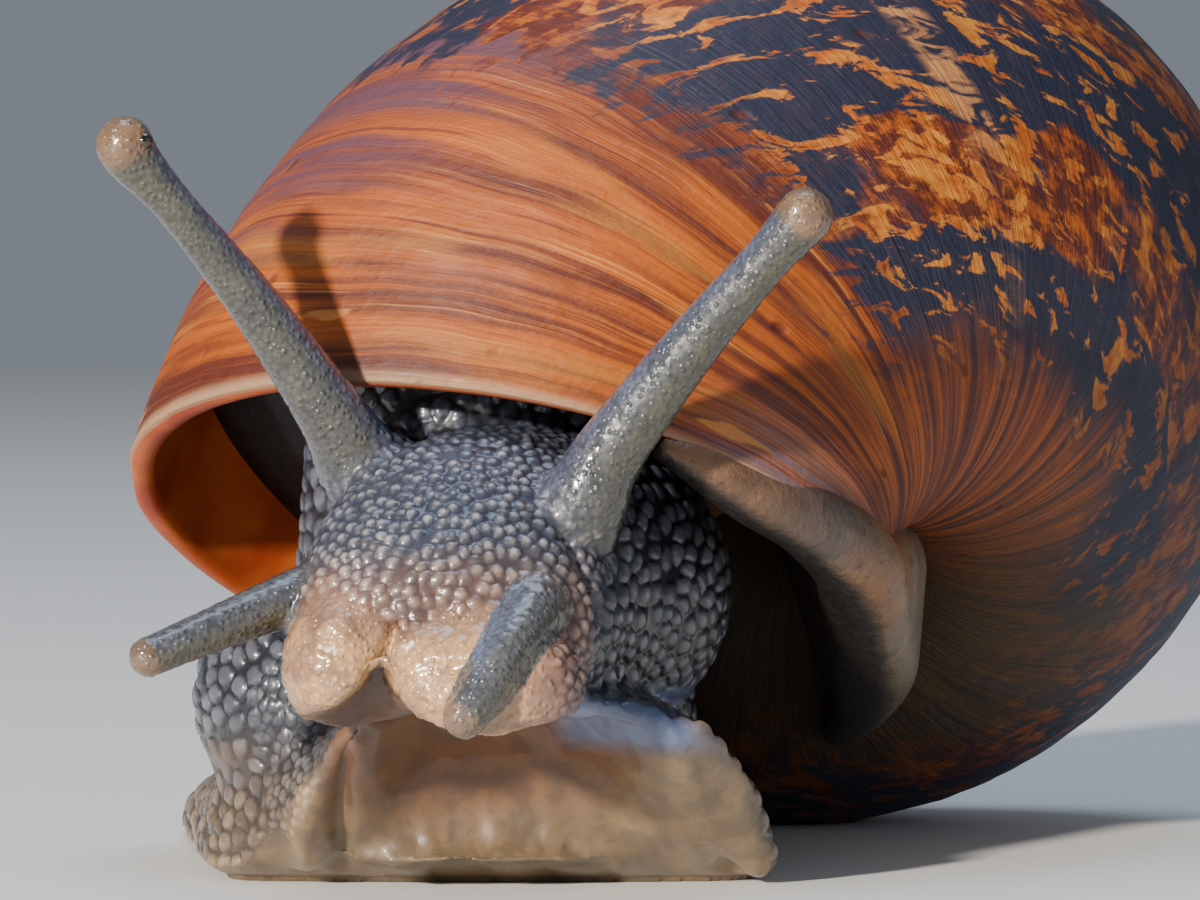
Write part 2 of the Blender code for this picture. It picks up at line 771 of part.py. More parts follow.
def main():
    clear_scene()
    snail, cutters = collection("garden_snail"), collection("cutters")
    materials = {name: material(name) for name in COLOURS}
    root = bpy.data.objects.new("snail_root", None)
    snail.objects.link(root)

    shell = fold_lip(make_shell(snail), cutters)
    lay_flat(shell, FLAT_SHELL)
    collar = make_collar(snail)
    flesh = trim_stalk(make_flesh(snail), cutters)
    parts = part_flesh(flesh, cutters)
    for name, centre in EYES.items():
        owner = "upper_tentacle_" + name.split("_")[1]
        socket = ball("socket", centre, (EYE_RADIUS + 0.08,) * 3, cutters, 12)
        hide(socket)
        parts[owner] = boolean(parts[owner], socket, "DIFFERENCE")
        bpy.data.objects.remove(socket, do_unlink=True)
        parts[name] = ball(name, centre, (EYE_RADIUS,) * 3, snail, 12)
    parts["shell"], parts["mantle_collar"] = shell, collar
    for name, obj in parts.items():
        kind = {"shell": "shell", "mantle_collar": "mantle_collar"}.get(name, "flesh")
        kind = "eye" if name.startswith("eye") else "lips" if name.startswith("lip_") else kind
        obj.data.materials.clear()
        obj.data.materials.append(materials[kind])
        obj.data.shade_smooth()
        obj.data.set_sharp_from_angle(angle=math.radians(50))
        obj.parent = root


main()
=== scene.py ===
"""Looks of a life-size brown garden snail (Cornu aspersum).

The shell, the fold of its columella, one skin over the whole soft body, the mantle's
edge and the eyes are made round the fixed frame, in millimetres until a mesh is made.
The snail crawls towards -Y, and the origin is the middle of its sole.
"""

import math

import bmesh
import bpy
import numpy as np
from mathutils import Matrix, Vector
from mathutils.kdtree import KDTree


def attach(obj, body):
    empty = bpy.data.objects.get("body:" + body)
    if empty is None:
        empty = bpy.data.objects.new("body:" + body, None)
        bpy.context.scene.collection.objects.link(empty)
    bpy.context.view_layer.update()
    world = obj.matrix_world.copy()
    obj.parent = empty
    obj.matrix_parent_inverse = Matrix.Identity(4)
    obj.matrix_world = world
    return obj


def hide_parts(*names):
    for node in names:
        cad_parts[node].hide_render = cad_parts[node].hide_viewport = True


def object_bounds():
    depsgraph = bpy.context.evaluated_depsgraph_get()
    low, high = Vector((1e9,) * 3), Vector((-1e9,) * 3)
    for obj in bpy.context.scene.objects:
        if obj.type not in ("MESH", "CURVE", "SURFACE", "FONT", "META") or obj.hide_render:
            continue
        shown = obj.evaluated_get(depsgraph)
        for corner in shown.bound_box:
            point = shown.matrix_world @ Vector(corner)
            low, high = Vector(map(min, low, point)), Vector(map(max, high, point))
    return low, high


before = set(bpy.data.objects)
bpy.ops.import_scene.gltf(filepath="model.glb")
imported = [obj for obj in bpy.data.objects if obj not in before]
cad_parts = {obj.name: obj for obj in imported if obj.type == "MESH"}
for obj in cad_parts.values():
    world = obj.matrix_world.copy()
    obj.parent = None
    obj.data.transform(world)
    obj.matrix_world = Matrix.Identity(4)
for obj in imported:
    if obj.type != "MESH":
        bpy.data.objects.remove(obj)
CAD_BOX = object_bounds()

bl_info = {
    "name": "Garden snail",
    "version": (1, 0, 0),
    "blender": (4, 5, 0),
    "location": "3D View > Sidebar > Snail",
    "description": "Builds a life-size garden snail round its fixed frame",
    "category": "Add Mesh",
}

MM = 0.001
TAU = math.tau

# ---- Shell: the same right-handed spiral as the frame's, in finer steps ----
WHORL_GROWTH = 2.003
SECTION_LONG, SECTION_SHORT = 10.47, 7.80
SECTION_TILT = math.radians(28.3)
SECTION_OUT, SECTION_DROP = 8.88, 17.09
LIP_LEAN, LIP_SWING = math.radians(40.8), math.radians(23.6)
WALL = 0.5
COLUMELLA, COLUMELLA_INSIDE, COLUMELLA_ROUND = 0.7, 2.3, 1.6
FLARE_OUTER, FLARE_COLUMELLA = 0.15, 1.0
APEX = Vector((7.42, 6.14, 13.83))
AXIS_HEADING, AXIS_RISE, AXIS_ROLL = (math.radians(a) for a in (17.1, 19.3, 1.3))
FINE = 8  # rows here for each row of the frame's shell
STEPS, LEAD_STEPS, ROWS, CAVITY_ROWS = 39 * FINE, 7 * FINE, 140 * FINE, 11 * FINE
FLARE_ROWS = 10  # rows over which the lip turns out
LIP_REACH = 12.0  # mm from the axis at which distances along the growth are told
ACROSS = 9.0  # mm across the last whorl for each radian of its oval
RIM_POINTS, RIM_BULGE = 3, 0.30  # the lip's edge is rounded by so many points
SUTURE_CALM = 0.12  # radians of the oval beside the suture, where growth lines die out
APEX_RISE = 0.25  # of the first whorl's middle

# the columella's lip is folded out over the umbilicus: middle line and radii
COLUMELLAR_LIP = (
    ((6.9, -19.15, 11.12), 0.30),
    ((7.9, -18.9, 10.62), 0.55),
    ((9.2, -18.3, 9.87), 0.75),
    ((10.7, -17.0, 9.15), 0.95),
    ((12.0, -15.0, 7.95), 1.12),
    ((12.5, -12.6, 6.42), 1.0),
    ((12.8, -9.8, 5.07), 1.0),
    ((12.4, -7.2, 3.87), 0.8),
    ((11.9, -5.6, 3.07), 0.5),
)
FOLD_FREE = 4
PILLAR = ((13.0, 1.2), (16.0, 1.4), (18.6, 1.4))  # depth on the axis, radius
FOLD_VOXEL = 0.12

# ---- Mantle: closes the whorl behind the lip ----
MANTLE_FRONT, MANTLE_BACK, MANTLE_GAP = -0.24, -0.42, 0.05
MANTLE_RINGS, MANTLE_BULGE = 12, 0.9

# ---- Body, as in the frame ----
# foot: y, middle x, half width, height of the sole, height of the back over the sole
FOOT = (
    (-21.4, 3.4, 3.0, 4.22, 0.90),
    (-20.7, 3.4, 4.2, 3.62, 1.70),
    (-19.2, 3.5, 5.0, 2.42, 3.00),
    (-17.5, 3.3, 6.0, 1.02, 4.40),
    (-15.5, 2.8, 6.9, 0.00, 5.27),
    (-13.5, 2.6, 7.3, 0.00, 5.07),
    (-10.0, 2.1, 7.1, 0.00, 4.27),
    (-6.0, 0.6, 6.2, 0.00, 3.07),
    (-3.0, -0.4, 5.4, 0.00, 2.57),
    (0.0, -0.8, 4.7, 0.00, 2.47),
    (6.0, 0.1, 3.6, 0.00, 2.27),
    (14.0, 1.7, 2.1, 0.00, 1.53),
    (18.5, 2.5, 1.2, 0.00, 0.94),
    (21.0, 2.8, 0.5, 0.00, 0.42),
)
# head and neck: y, middle x, middle z, half width, half height
HEAD = (
    (-23.9, 1.6, 5.97, 1.2, 0.9),
    (-23.4, 1.6, 6.07, 2.4, 1.8),
    (-22.6, 1.7, 6.47, 3.3, 2.6),
    (-21.3, 1.95, 7.07, 3.8, 3.25),
    (-20.0, 2.3, 7.47, 4.05, 3.7),
    (-18.0, 2.9, 7.47, 4.45, 4.0),
    (-16.0, 3.4, 7.37, 5.0, 4.2),
    (-13.0, 3.5, 7.27, 5.2, 4.5),
    (-10.3, 2.6, 7.17, 4.5, 4.2),
    (-8.8, 2.0, 6.97, 3.0, 3.0),
)
# stalk that rises into the shell: z, middle x, middle y, half length in x and in y
STALK = (
    (0.67, 2.3, -12.0, 6.2, 6.2),
    (3.67, 2.4, -12.2, 5.6, 5.8),
    (6.67, 2.6, -12.6, 5.0, 5.3),
    (9.67, 2.5, -12.8, 4.6, 4.6),
    (12.67, 2.3, -12.5, 4.2, 4.2),
    (16.17, 1.9, -12.0, 3.8, 3.8),
)
FLANK = ((-1.2, -13.0, 4.4), (3.7, 4.5, 3.4))  # full side of the foot: middle, half axes
LIP_LOBES = {  # middle, half axes
    "lip_right": ((-0.6, -22.4, 5.92), (1.55, 1.5, 1.75)),
    "lip_left": ((2.6, -23.2, 5.52), (2.55, 1.25, 1.75)),
}
# the lobes' lower edge seen from the front, x then z: it rises to a point at the cleft
LOBE_X = (-1.86, -1.39, -0.74, -0.10, 0.25, 0.50, 1.00, 1.94, 3.60, 4.55, 5.5)
LOBE_Z = (4.70, 4.80, 5.10, 5.60, 6.30, 5.60, 4.85, 4.32, 4.15, 4.27, 4.63)
MOUTH_BACK = -22.25  # how far the mouth lies back under the lobes
CRUMB_LOW, CRUMB_RIGHT = 3.6, 1.6  # crumbs of the left lobe's edge lie above and left of these
FEELERS = {
    "upper_tentacle_right": (
        ((0.9, -18.0, 9.27), 1.5),
        ((-0.45, -18.5, 10.77), 1.12),
        ((-1.1, -19.0, 11.87), 0.86),
        ((-3.0, -20.0, 14.67), 0.64),
        ((-4.8, -21.0, 16.97), 0.52),
        ((-5.7, -21.4, 18.02), 0.66),
        ((-5.95, -21.55, 18.42), 0.72),
    ),
    "upper_tentacle_left": (
        ((4.0, -19.0, 8.27), 1.6),
        ((5.0, -20.5, 9.57), 1.15),
        ((5.75, -20.8, 11.02), 0.88),
        ((7.65, -21.5, 13.52), 0.70),
        ((9.4, -22.2, 15.57), 0.60),
        ((10.1, -22.45, 16.37), 0.66),
        ((10.4, -22.55, 16.72), 0.70),
    ),
    "lower_tentacle_right": (
        ((0.4, -20.2, 7.77), 0.95),
        ((-1.3, -21.0, 7.67), 0.74),
        ((-3.3, -22.0, 6.97), 0.58),
        ((-5.0, -22.9, 6.29), 0.50),
        ((-5.3, -23.05, 6.17), 0.50),
    ),
    "lower_tentacle_left": (
        ((4.2, -21.0, 7.87), 0.95),
        ((3.9, -22.8, 7.27), 0.76),
        ((3.25, -24.05, 6.27), 0.64),
        ((2.5, -24.75, 5.12), 0.56),
        ((2.3, -24.85, 4.87), 0.54),
    ),
}
EYES = {  # on the end bulb of each upper feeler
    "eye_right": (-5.45, -21.87, 18.51),
    "eye_left": (9.97, -22.18, 16.82),
}
FRINGE = 0.5
CELL_APART, BEAD_REACH = 0.82, 0.72  # least gap between warts and radius, in their spacing
FLESH_NODES = (
    "head", "neck", "foot_front", "foot_middle", "tail", "lip_left", "lip_right",
    "upper_tentacle_left", "upper_tentacle_right",
    "lower_tentacle_left", "lower_tentacle_right",
)
FLAT_SOLE, FLAT_SHELL = 0.12, 0.06  # what lies this near the floor is set on it
SKIN_ROUNDS, FOLD_ROUNDS = 3, 2  # rounds of smoothing over the joins

# ---- Mouth and the foot's front ----
CLEFT = ((0.45, 7.0), (0.30, 6.5), (0.25, 6.1))  # seen from the front: x and z
CLEFT_CUTS = ((0.40, 0.15), (0.22, 0.5))  # depth and width, of the slit and of its dip
MOUTH_HOLLOW, HOLLOW_HALF, HOLLOW_DEPTH = (1.55, 7.25), (0.75, 0.45), 0.30  # over the lobes
MOUTH = (0.6, 6.0)  # the lips' wrinkles run out from here
NECK_FOLD = ((4.6, -21.6, 9.0), (5.4, -21.9, 7.6), (6.2, -21.3, 5.9))
NECK_FOLD_DEPTH, NECK_FOLD_WIDTH = 0.30, 0.16
# pale folds at both sides of the foot's front: middle line
APRON_EDGES = (
    ((-1.6, -20.6, 4.3), (-1.75, -19.6, 3.0), (-1.8, -18.2, 1.6), (-1.9, -16.8, 0.3)),
    ((8.0, -20.0, 4.3), (8.6, -18.9, 3.2), (9.1, -17.4, 1.8), (9.6, -16.0, 0.3)),
)
EDGE_HEIGHT, EDGE_WIDTH = 0.42, 0.40
GROOVE_OFFSETS, GROOVE_DEPTH, GROOVE_WIDTH = (0.85, -0.85), 0.32, 0.30  # inside each fold
APRON_MIDDLE, APRON_HALF, APRON_HOLLOW = 3.2, 3.0, 1.5
FRONT_ROUNDS = 140  # rounds of rounding off at the foot's front

# ---- Fixed tints between the colours that a user would change ----
# the orange at 0.42 of the way is partly a painted highlight
FOLD_TINTS = (  # share of the way along the fold, colour
    (0.0, (0.17, 0.075, 0.026)), (0.28, (0.070, 0.052, 0.040)), (0.42, (0.26, 0.125, 0.042)),
    (0.55, (0.185, 0.130, 0.078)), (0.70, (0.090, 0.072, 0.038)), (1.0, (0.036, 0.027, 0.013)),
)
# painted shade on the fold's side that faces into the mouth
FOLD_INNER_SHADE = np.array((0.012, 0.009, 0.007))
PINK_BROWN = np.array((0.24, 0.120, 0.078))  # over the lips, and as painted shade on their turned sides
PEACH_DARK = np.array((0.20, 0.085, 0.035))  # skin in the mouth's shade
FEELER_GREY = np.array((0.085, 0.088, 0.095))
DUSK_SHEEN = (0.105, 0.042, 0.060, 1.0)  # purple brown streaks by the suture, their purple partly a painted sheen
GREY_SHEEN = (0.175, 0.120, 0.135, 1.0)  # violet grey streaks by the umbilicus, partly a painted sheen
OLIVE = (0.060, 0.035, 0.010, 1.0)  # olive brown of its base
RAY = (0.40, 0.17, 0.060, 1.0)  # pale old lip, kept as a ray across the whorl
RIM = (0.38, 0.23, 0.13, 1.0)  # beige edge of the lip
RAY_BACK = 13.4  # mm of growth from the lip back to that ray
BAND_START, BAND_STEP = 1.10, 0.78  # dark bands, in radians of the whorl's oval

# ---- Stage ----
FLOOR_HALF = 600.0
CAMERA_AIM, CAMERA_AWAY, CAMERA_RISE = (5.5, -20.0, 11.02), 150.0, math.radians(2)
CAMERA_LENS, CAMERA_SENSOR = 184.5, 36.0
LIGHT_AIM = (6.0, -10.0, 11.0)
LIGHTS = (  # name, place in metres, size, power, tint
    ("key", (-0.18, -0.28, 0.115), 0.022, 2.6, (1.0, 0.93, 0.83)),
    ("sky", (0.02, 0.02, 0.36), 0.20, 0.55, (0.62, 0.76, 1.0)),
    ("fill", (0.28, -0.26, 0.10), 0.30, 0.12, (0.85, 0.90, 1.0)),
)
WORLD_COLOUR, WORLD_STRENGTH = (0.70, 0.78, 0.90, 1.0), 0.28


# ---------------------------------------------------------------- settings
class SnailSizes(bpy.types.PropertyGroup):
    """Sizes that a user would change, in metres as the frame is."""

    skin_voxel: bpy.props.FloatProperty(
        name="Skin voxel", description="Size of the skin's first facets",
        default=0.15 * MM, unit="LENGTH",
    )
    wart_head: bpy.props.FloatProperty(
        name="Wart on the head", description="Distance between the warts of the head",
        default=0.29 * MM, unit="LENGTH",
    )
    wart_body: bpy.props.FloatProperty(
        name="Wart on the body", description="Distance between the warts of neck and foot",
        default=0.43 * MM, unit="LENGTH",
    )
    wart_feeler: bpy.props.FloatProperty(
        name="Wart on the feelers", description="Distance between the warts of the feelers",
        default=0.17 * MM, unit="LENGTH",
    )
    wart_height: bpy.props.FloatProperty(
        name="Wart height", description="Height of a wart as a share of its width",
        default=0.34, subtype="FACTOR", min=0.0, max=1.0,
    )
    growth_relief: bpy.props.FloatProperty(
        name="Growth line height", description="Height of the shell's growth lines",
        default=0.035 * MM, unit="LENGTH",
    )
    eye_radius: bpy.props.FloatProperty(
        name="Eye radius", description="Radius of each eye", default=0.22 * MM, unit="LENGTH",
    )


def colour(name, description, default):
    return bpy.props.FloatVectorProperty(
        name=name, description=description, default=default, subtype="COLOR", size=3,
        min=0.0, max=1.0,
    )


class SnailColours(bpy.types.PropertyGroup):
    """Colours that a user would change."""

    shell_orange: colour("Shell orange", "Young shell by the lip", (0.36, 0.076, 0.001))
    shell_brown: colour("Shell brown", "Streaks and bands of the shell", (0.080, 0.012, 0.004))
    # the darkest marbling is tinted blue as a painted sky reflection
    shell_dark: colour("Shell dark", "Darkest marbling of the shell", (0.010, 0.014, 0.033))
    shell_fleck: colour("Shell fleck", "Yellow flecks in the dark marbling", (0.52, 0.19, 0.020))
    shell_cream: colour("Shell cream", "Pale growth lines", (0.58, 0.23, 0.045))
    skin_grey: colour("Skin grey", "Warts of the skin", (0.33, 0.32, 0.32))
    skin_blue: colour("Skin blue", "Blue grey of the head and feelers", (0.060, 0.078, 0.135))
    skin_dark: colour("Skin dark", "Furrows between the warts", (0.010, 0.011, 0.016))
    skin_cream: colour("Skin cream", "Lips of the mouth", (0.66, 0.37, 0.165))
    skin_olive: colour("Skin olive", "Undersides of the feelers", (0.085, 0.080, 0.045))
    skin_tan: colour("Skin tan", "Ends of the feelers", (0.21, 0.12, 0.06))
    sole_cream: colour("Sole cream", "Edge of the sole", (0.42, 0.28, 0.145))
    floor_pale: colour("Floor", "Studio floor", (0.80, 0.79, 0.77))


# ---------------------------------------------------------------- small tools
def linked(name, data):
    """A new object of the scene, with that mesh, curve, light or camera."""
    made = bpy.data.objects.new(name, data)
    bpy.context.scene.collection.objects.link(made)
    return made


def mesh_piece(name, verts_mm, faces):
    """A mesh object from points in millimetres."""
    mesh = bpy.data.meshes.new(name)
    mesh.from_pydata([tuple(MM * c for c in v) for v in verts_mm], [], faces)
    mesh.validate()
    return linked(name, mesh)


def face_out(piece):
    """Turns the piece's faces outwards."""
    work = bmesh.new()
    work.from_mesh(piece.data)
    bmesh.ops.recalc_face_normals(work, faces=work.faces)
    if work.calc_volume(signed=True) < 0:
        bmesh.ops.reverse_faces(work, faces=work.faces)
    work.to_mesh(piece.data)
    work.free()


def freeze(piece):
    """Turns the piece, with its modifiers, into a plain mesh piece of that name."""
    bpy.context.view_layer.update()
    graph = bpy.context.evaluated_depsgraph_get()
    mesh = bpy.data.meshes.new_from_object(piece.evaluated_get(graph), depsgraph=graph)
    name = piece.name
    bpy.data.objects.remove(piece, do_unlink=True)
    mesh.name = name
    return linked(name, mesh)


def points_of(piece):
    """The piece's points in millimetres, as an array."""
    found = np.empty(len(piece.data.vertices) * 3, np.float32)
    piece.data.vertices.foreach_get("co", found)
    return found.reshape(-1, 3).astype(float) / MM


def normals_of(piece):
    found = np.empty(len(piece.data.vertices) * 3, np.float32)
    piece.data.vertices.foreach_get("normal", found)
    return found.reshape(-1, 3).astype(float)


def set_points(piece, points_mm):
    piece.data.vertices.foreach_set("co", (points_mm * MM).astype(np.float32).ravel())
    piece.data.update()


def on_floor(points, flat):
    """The points, with those within flat of the floor set on it."""
    points[:, 2] = np.where(points[:, 2] < flat, 0.0, points[:, 2])
    return points


def in_frame(points):
    """The points, held inside the frame's own box."""
    low, high = (np.array(corner) / MM for corner in CAD_BOX)
    return np.clip(points, low, high)


def set_value(piece, name, values):
    made = piece.data.attributes.new(name, "FLOAT", "POINT")
    made.data.foreach_set("value", values.astype(np.float32))


def set_tint(piece, name, colours):
    made = piece.data.attributes.new(name, "FLOAT_COLOR", "POINT")
    rgba = np.concatenate([colours, np.ones((len(colours), 1))], 1)
    made.data.foreach_set("color", rgba.astype(np.float32).ravel())


def smooth_step(low, high, value):
    t = np.clip((value - low) / (high - low), 0.0, 1.0)
    return t * t * (3 - 2 * t)


def mix(first, second, share):
    share = np.asarray(share)[:, None]
    return first * (1 - share) + np.asarray(second) * share


def relaxed(piece, points, share, rounds):
    """The points drawn towards their neighbours' middle, by a share given for each."""
    ends = np.empty(len(piece.data.edges) * 2, np.int32)
    piece.data.edges.foreach_get("vertices", ends)
    first, second = ends.reshape(-1, 2)[share[ends.reshape(-1, 2)].max(1) > 0].T
    count = len(points)
    links = np.bincount(first, minlength=count) + np.bincount(second, minlength=count)
    weight = (0.5 * share / np.maximum(links, 1))[:, None]
    for _ in range(rounds):
        pull = np.zeros_like(points)
        step = points[second] - points[first]
        for axis, along in enumerate(step.T):
            pull[:, axis] = np.bincount(first, along, count) - np.bincount(second, along, count)
        points = points + weight * pull
    return points


def lattice_noise(points, seed):
    """Smooth noise from -1 to 1 at unit spacing, the same on each run."""
    base = np.floor(points).astype(np.int64)
    part = points - base
    part = part * part * (3 - 2 * part)
    total = np.zeros(len(points))
    for corner in range(8):
        step = np.array([corner & 1, corner >> 1 & 1, corner >> 2 & 1])
        at = base + step
        key = at[:, 0] * 73856093 ^ at[:, 1] * 19349663 ^ at[:, 2] * 83492791 ^ seed * 2654435761
        key = (key ^ key >> 13) * 1274126177
        value = ((key ^ key >> 16) & 0xFFFF) / 32767.5 - 1.0
        total += value * np.prod(np.where(step, part, 1 - part), axis=1)
    return total


def path_distance(points, path):
    """Distance to a line through given points, and how far along it, from 0 to 1."""
    path = np.asarray(path, float)
    lengths = np.linalg.norm(np.diff(path, axis=0), axis=1)
    starts = np.concatenate([[0], np.cumsum(lengths)])
    best, along = np.full(len(points), 1e9), np.zeros(len(points))
    for k, (a, b) in enumerate(zip(path[:-1], path[1:])):
        t = np.clip(((points - a) @ (b - a)) / max((b - a) @ (b - a), 1e-9), 0, 1)
        d = np.linalg.norm(points - a - t[:, None] * (b - a), axis=1)
        near = d < best
        best[near] = d[near]
        along[near] = (starts[k] + t[near] * lengths[k]) / starts[-1]
    return best, along


# ---------------------------------------------------------------- shell's form
GROWTH = math.log(WHORL_GROWTH) / TAU


def shell_frame():
    """The shell's own axes: x to the lip, z from base to apex. Columns of a matrix."""
    axis = Vector(
        (
            -math.sin(AXIS_HEADING) * math.cos(AXIS_RISE),
            math.cos(AXIS_HEADING) * math.cos(AXIS_RISE),
            math.sin(AXIS_RISE),
        )
    )
    level = Vector((-math.cos(AXIS_HEADING), -math.sin(AXIS_HEADING), 0.0))
    out = level * math.cos(AXIS_ROLL) + axis.cross(level) * math.sin(AXIS_ROLL)
    return np.array(Matrix((out, axis.cross(out), axis)).transposed())


SHELL_AXES = shell_frame()


def placed(points):
    return points @ SHELL_AXES.T + np.array(APEX)


def section(phi, inset=0.0, least=COLUMELLA):
    """Distance from the axis and height of the whorl's oval at the lip, at angle phi."""
    u = (SECTION_LONG - inset) * np.cos(phi)
    v = (SECTION_SHORT - inset) * np.sin(phi)
    c, s = math.cos(SECTION_TILT), math.sin(SECTION_TILT)
    out = SECTION_OUT + u * c - v * s
    out = least + 0.5 * (out - least + np.hypot(out - least, COLUMELLA_ROUND))
    return out, -SECTION_DROP + u * s + v * c


def spiral_point(turn, r, z):
    size = np.exp(GROWTH * turn)
    return np.stack([size * r * np.cos(turn), -size * r * np.sin(turn), size * z], -1)


def oval_angle(r, z, scale):
    """How far outside the oval of an earlier turn a point lies, and at what angle."""
    dr, dz = r - SECTION_OUT * scale, z + SECTION_DROP * scale
    c, s = math.cos(SECTION_TILT), math.sin(SECTION_TILT)
    u = (dr * c + dz * s) / (SECTION_LONG * scale)
    v = (-dr * s + dz * c) / (SECTION_SHORT * scale)
    return u * u + v * v - 1.0, math.atan2(v, u)


def suture(inset=0.0):
    """Angles on the oval, and on the oval one turn earlier, where the two meet."""
    low, high = math.radians(20), math.radians(90)
    for _ in range(50):
        middle = (low + high) / 2
        if oval_angle(*section(middle, inset), 1 / WHORL_GROWTH)[0] > 0:
            low = middle
        else:
            high = middle
    return low, oval_angle(*section(low, inset), 1 / WHORL_GROWTH)[1]


PHI_SUTURE, PHI_CONTACT = suture()
PHI_INNER_SUTURE, PHI_INNER_CONTACT = suture(WALL)
PHI_UMBILICUS, PHI_PARIETAL_END, PHI_TUCKED, PHI_COLUMELLA, PHI_PILLAR = (
    math.radians(a) for a in (-115, -122, -150, -160, -234)
)
BACK = STEPS - LEAD_STEPS  # rows from the lip back to where its suture starts
LEAD = LEAD_STEPS * TAU / STEPS
LIP_NORMAL = np.array(
    (
        math.sin(LIP_SWING) * math.cos(LIP_LEAN),
        -math.cos(LIP_SWING) * math.cos(LIP_LEAN),
        -math.sin(LIP_LEAN),
    )
)


def plane_lead(phi):
    """The turn at which the lip's plane crosses the spiral, for an array of angles."""
    centre = np.array((SECTION_OUT, 0.0, -SECTION_DROP))
    low, high = np.full(phi.shape, -1.2), np.full(phi.shape, 1.4)
    r, z = section(phi)
    for _ in range(40):
        middle = (low + high) / 2
        past = (spiral_point(middle, r, z) - centre) @ LIP_NORMAL > 0
        low, high = np.where(past, low, middle), np.where(past, middle, high)
    return low


def lip_lead(phi):
    """As plane_lead, made to close on itself one turn back along the suture."""
    phi = np.maximum(np.atleast_1d(phi).astype(float), PHI_TUCKED)
    lead = plane_lead(np.minimum(phi, PHI_SUTURE))
    ends = plane_lead(np.array((PHI_SUTURE, PHI_CONTACT)))
    miss = LEAD - (ends[0] - ends[1])
    share = (phi - PHI_CONTACT) / (PHI_SUTURE - PHI_CONTACT)
    return lead + miss * np.maximum(share, 0.0)


def shell_points(tau, phi, inset=0.0, least=COLUMELLA):
    """Points for each tau (rows) and phi (columns), in millimetres in the frame."""
    r, z = section(phi, inset, least)
    turn = np.asarray(tau)[:, None] + lip_lead(phi)[None, :]
    return placed(spiral_point(turn, r[None, :], z[None, :]))


def flare(phi):
    inward = np.clip((-phi - math.radians(80)) / math.radians(70), 0.0, 1.0)
    return FLARE_OUTER + (FLARE_COLUMELLA - FLARE_OUTER) * smooth_step(0.0, 1.0, inward)


def quads(grid):
    """Quads between neighbours in a table of point numbers."""
    return np.stack([grid[:-1, :-1], grid[:-1, 1:], grid[1:, 1:], grid[1:, :-1]], -1).reshape(-1, 4)


def growth_relief(along, across, seed):
    """Growth lines, dents and wrinkles of the shell's surface, from about -1 to 1."""
    slow = lattice_noise(np.stack([across * 0.22, along * 0.35, 0 * along], 1), seed)
    drift = along + 0.25 * slow
    fine = lattice_noise(np.stack([drift * 3.4, across * 0.20, 0 * along], 1), seed + 1)
    ribs = lattice_noise(np.stack([drift * 1.35, across * 0.10, 0 * along], 1), seed + 2)
    dents = lattice_noise(np.stack([along * 1.7, across * 1.5, 0 * along], 1), seed + 3)
    grain = lattice_noise(np.stack([along * 4.5, across * 3.6, 0 * along], 1), seed + 4)
    return 0.45 * fine + 0.8 * ribs + 0.55 * dents + 0.28 * grain


def whorl_angles():
    """Angles round the whorl's oval, and the columns where its parts meet."""
    bare = np.linspace(PHI_SUTURE, PHI_CONTACT, 57)
    near = np.linspace(PHI_CONTACT, PHI_INNER_CONTACT, RIM_POINTS + 2)[1:]
    low = np.linspace(PHI_INNER_CONTACT, PHI_PARIETAL_END, 41)[1:]
    umbilical = np.linspace(PHI_PARIETAL_END, PHI_COLUMELLA, 17)[1:]
    contact = len(bare) - 1
    joint = contact + len(near)
    return np.concatenate([bare, near, low, umbilical]), contact, joint, joint + len(low)


def inner_angles(phi, contact):
    """Angles round the hollow: the oval's own, then on round the columella."""
    roof = np.linspace(PHI_INNER_SUTURE, PHI_CONTACT, contact + 1)[1:]
    return np.concatenate([roof, phi[contact + 1 :], np.linspace(PHI_COLUMELLA, PHI_PILLAR, 40)[1:]])


def outer_wall(tau, phi, relief):
    """The outer wall with its turned-out lip and growth lines, and its distances of growth."""
    rows = np.arange(ROWS + 1)
    outer = shell_points(tau, phi)
    middle = spiral_point(tau[:, None] + lip_lead(phi)[None, :], SECTION_OUT, -SECTION_DROP)
    outward = outer - placed(middle)
    outward /= np.linalg.norm(outward, axis=-1, keepdims=True)
    turned = smooth_step(ROWS - FLARE_ROWS, ROWS, rows.astype(float)) ** 1.5
    tucked = smooth_step(PHI_TUCKED, PHI_PARIETAL_END, phi)
    outer = outer + outward * turned[:, None, None] * (flare(phi) * tucked)[None, :, None]
    size = np.exp(GROWTH * tau)[:, None]
    along = (size[:, 0] - 1.0) / GROWTH * LIP_REACH
    across = phi[None, :] * ACROSS * size
    raised = growth_relief(np.repeat(along, len(phi)), across.ravel(), 11).reshape(across.shape)
    edge = smooth_step(PHI_SUTURE, PHI_SUTURE - SUTURE_CALM, phi)
    edge = edge * smooth_step(PHI_TUCKED, PHI_UMBILICUS, phi)
    # where the next whorl lies on this one there is no relief
    covered = rows[:, None] < ROWS - BACK
    bare = raised * edge[None, :] * np.sqrt(size)
    raised = np.where(covered & (phi[None, :] < PHI_CONTACT), 0.0, bare)
    sunk = smooth_step(PHI_CONTACT + SUTURE_CALM, PHI_CONTACT, phi)
    keep = np.where(covered, 1.0 - sunk[None, :], 1.0)
    return outer + outward * (raised * keep * relief)[:, :, None], along, across


def rounded_lip(points, out_edge, in_edge, behind, roots):
    """Rows of points that round the lip's edge: all points, and the rows' numbers."""
    ahead = points[out_edge] - points[behind]
    ahead /= np.maximum(np.linalg.norm(ahead, axis=1, keepdims=True), 1e-6)
    rim = [out_edge]
    for k, root in enumerate(roots, 1):
        t = k / (RIM_POINTS + 1)
        bulge = RIM_BULGE * WALL * math.sin(math.pi * t)
        line = points[out_edge] * (1 - t) + points[in_edge] * t + ahead * bulge
        row = len(points) + np.arange(len(line))
        row[0] = root
        rim.append(row)
        points = np.concatenate([points, line])
    return points, np.array([*rim, in_edge]).T


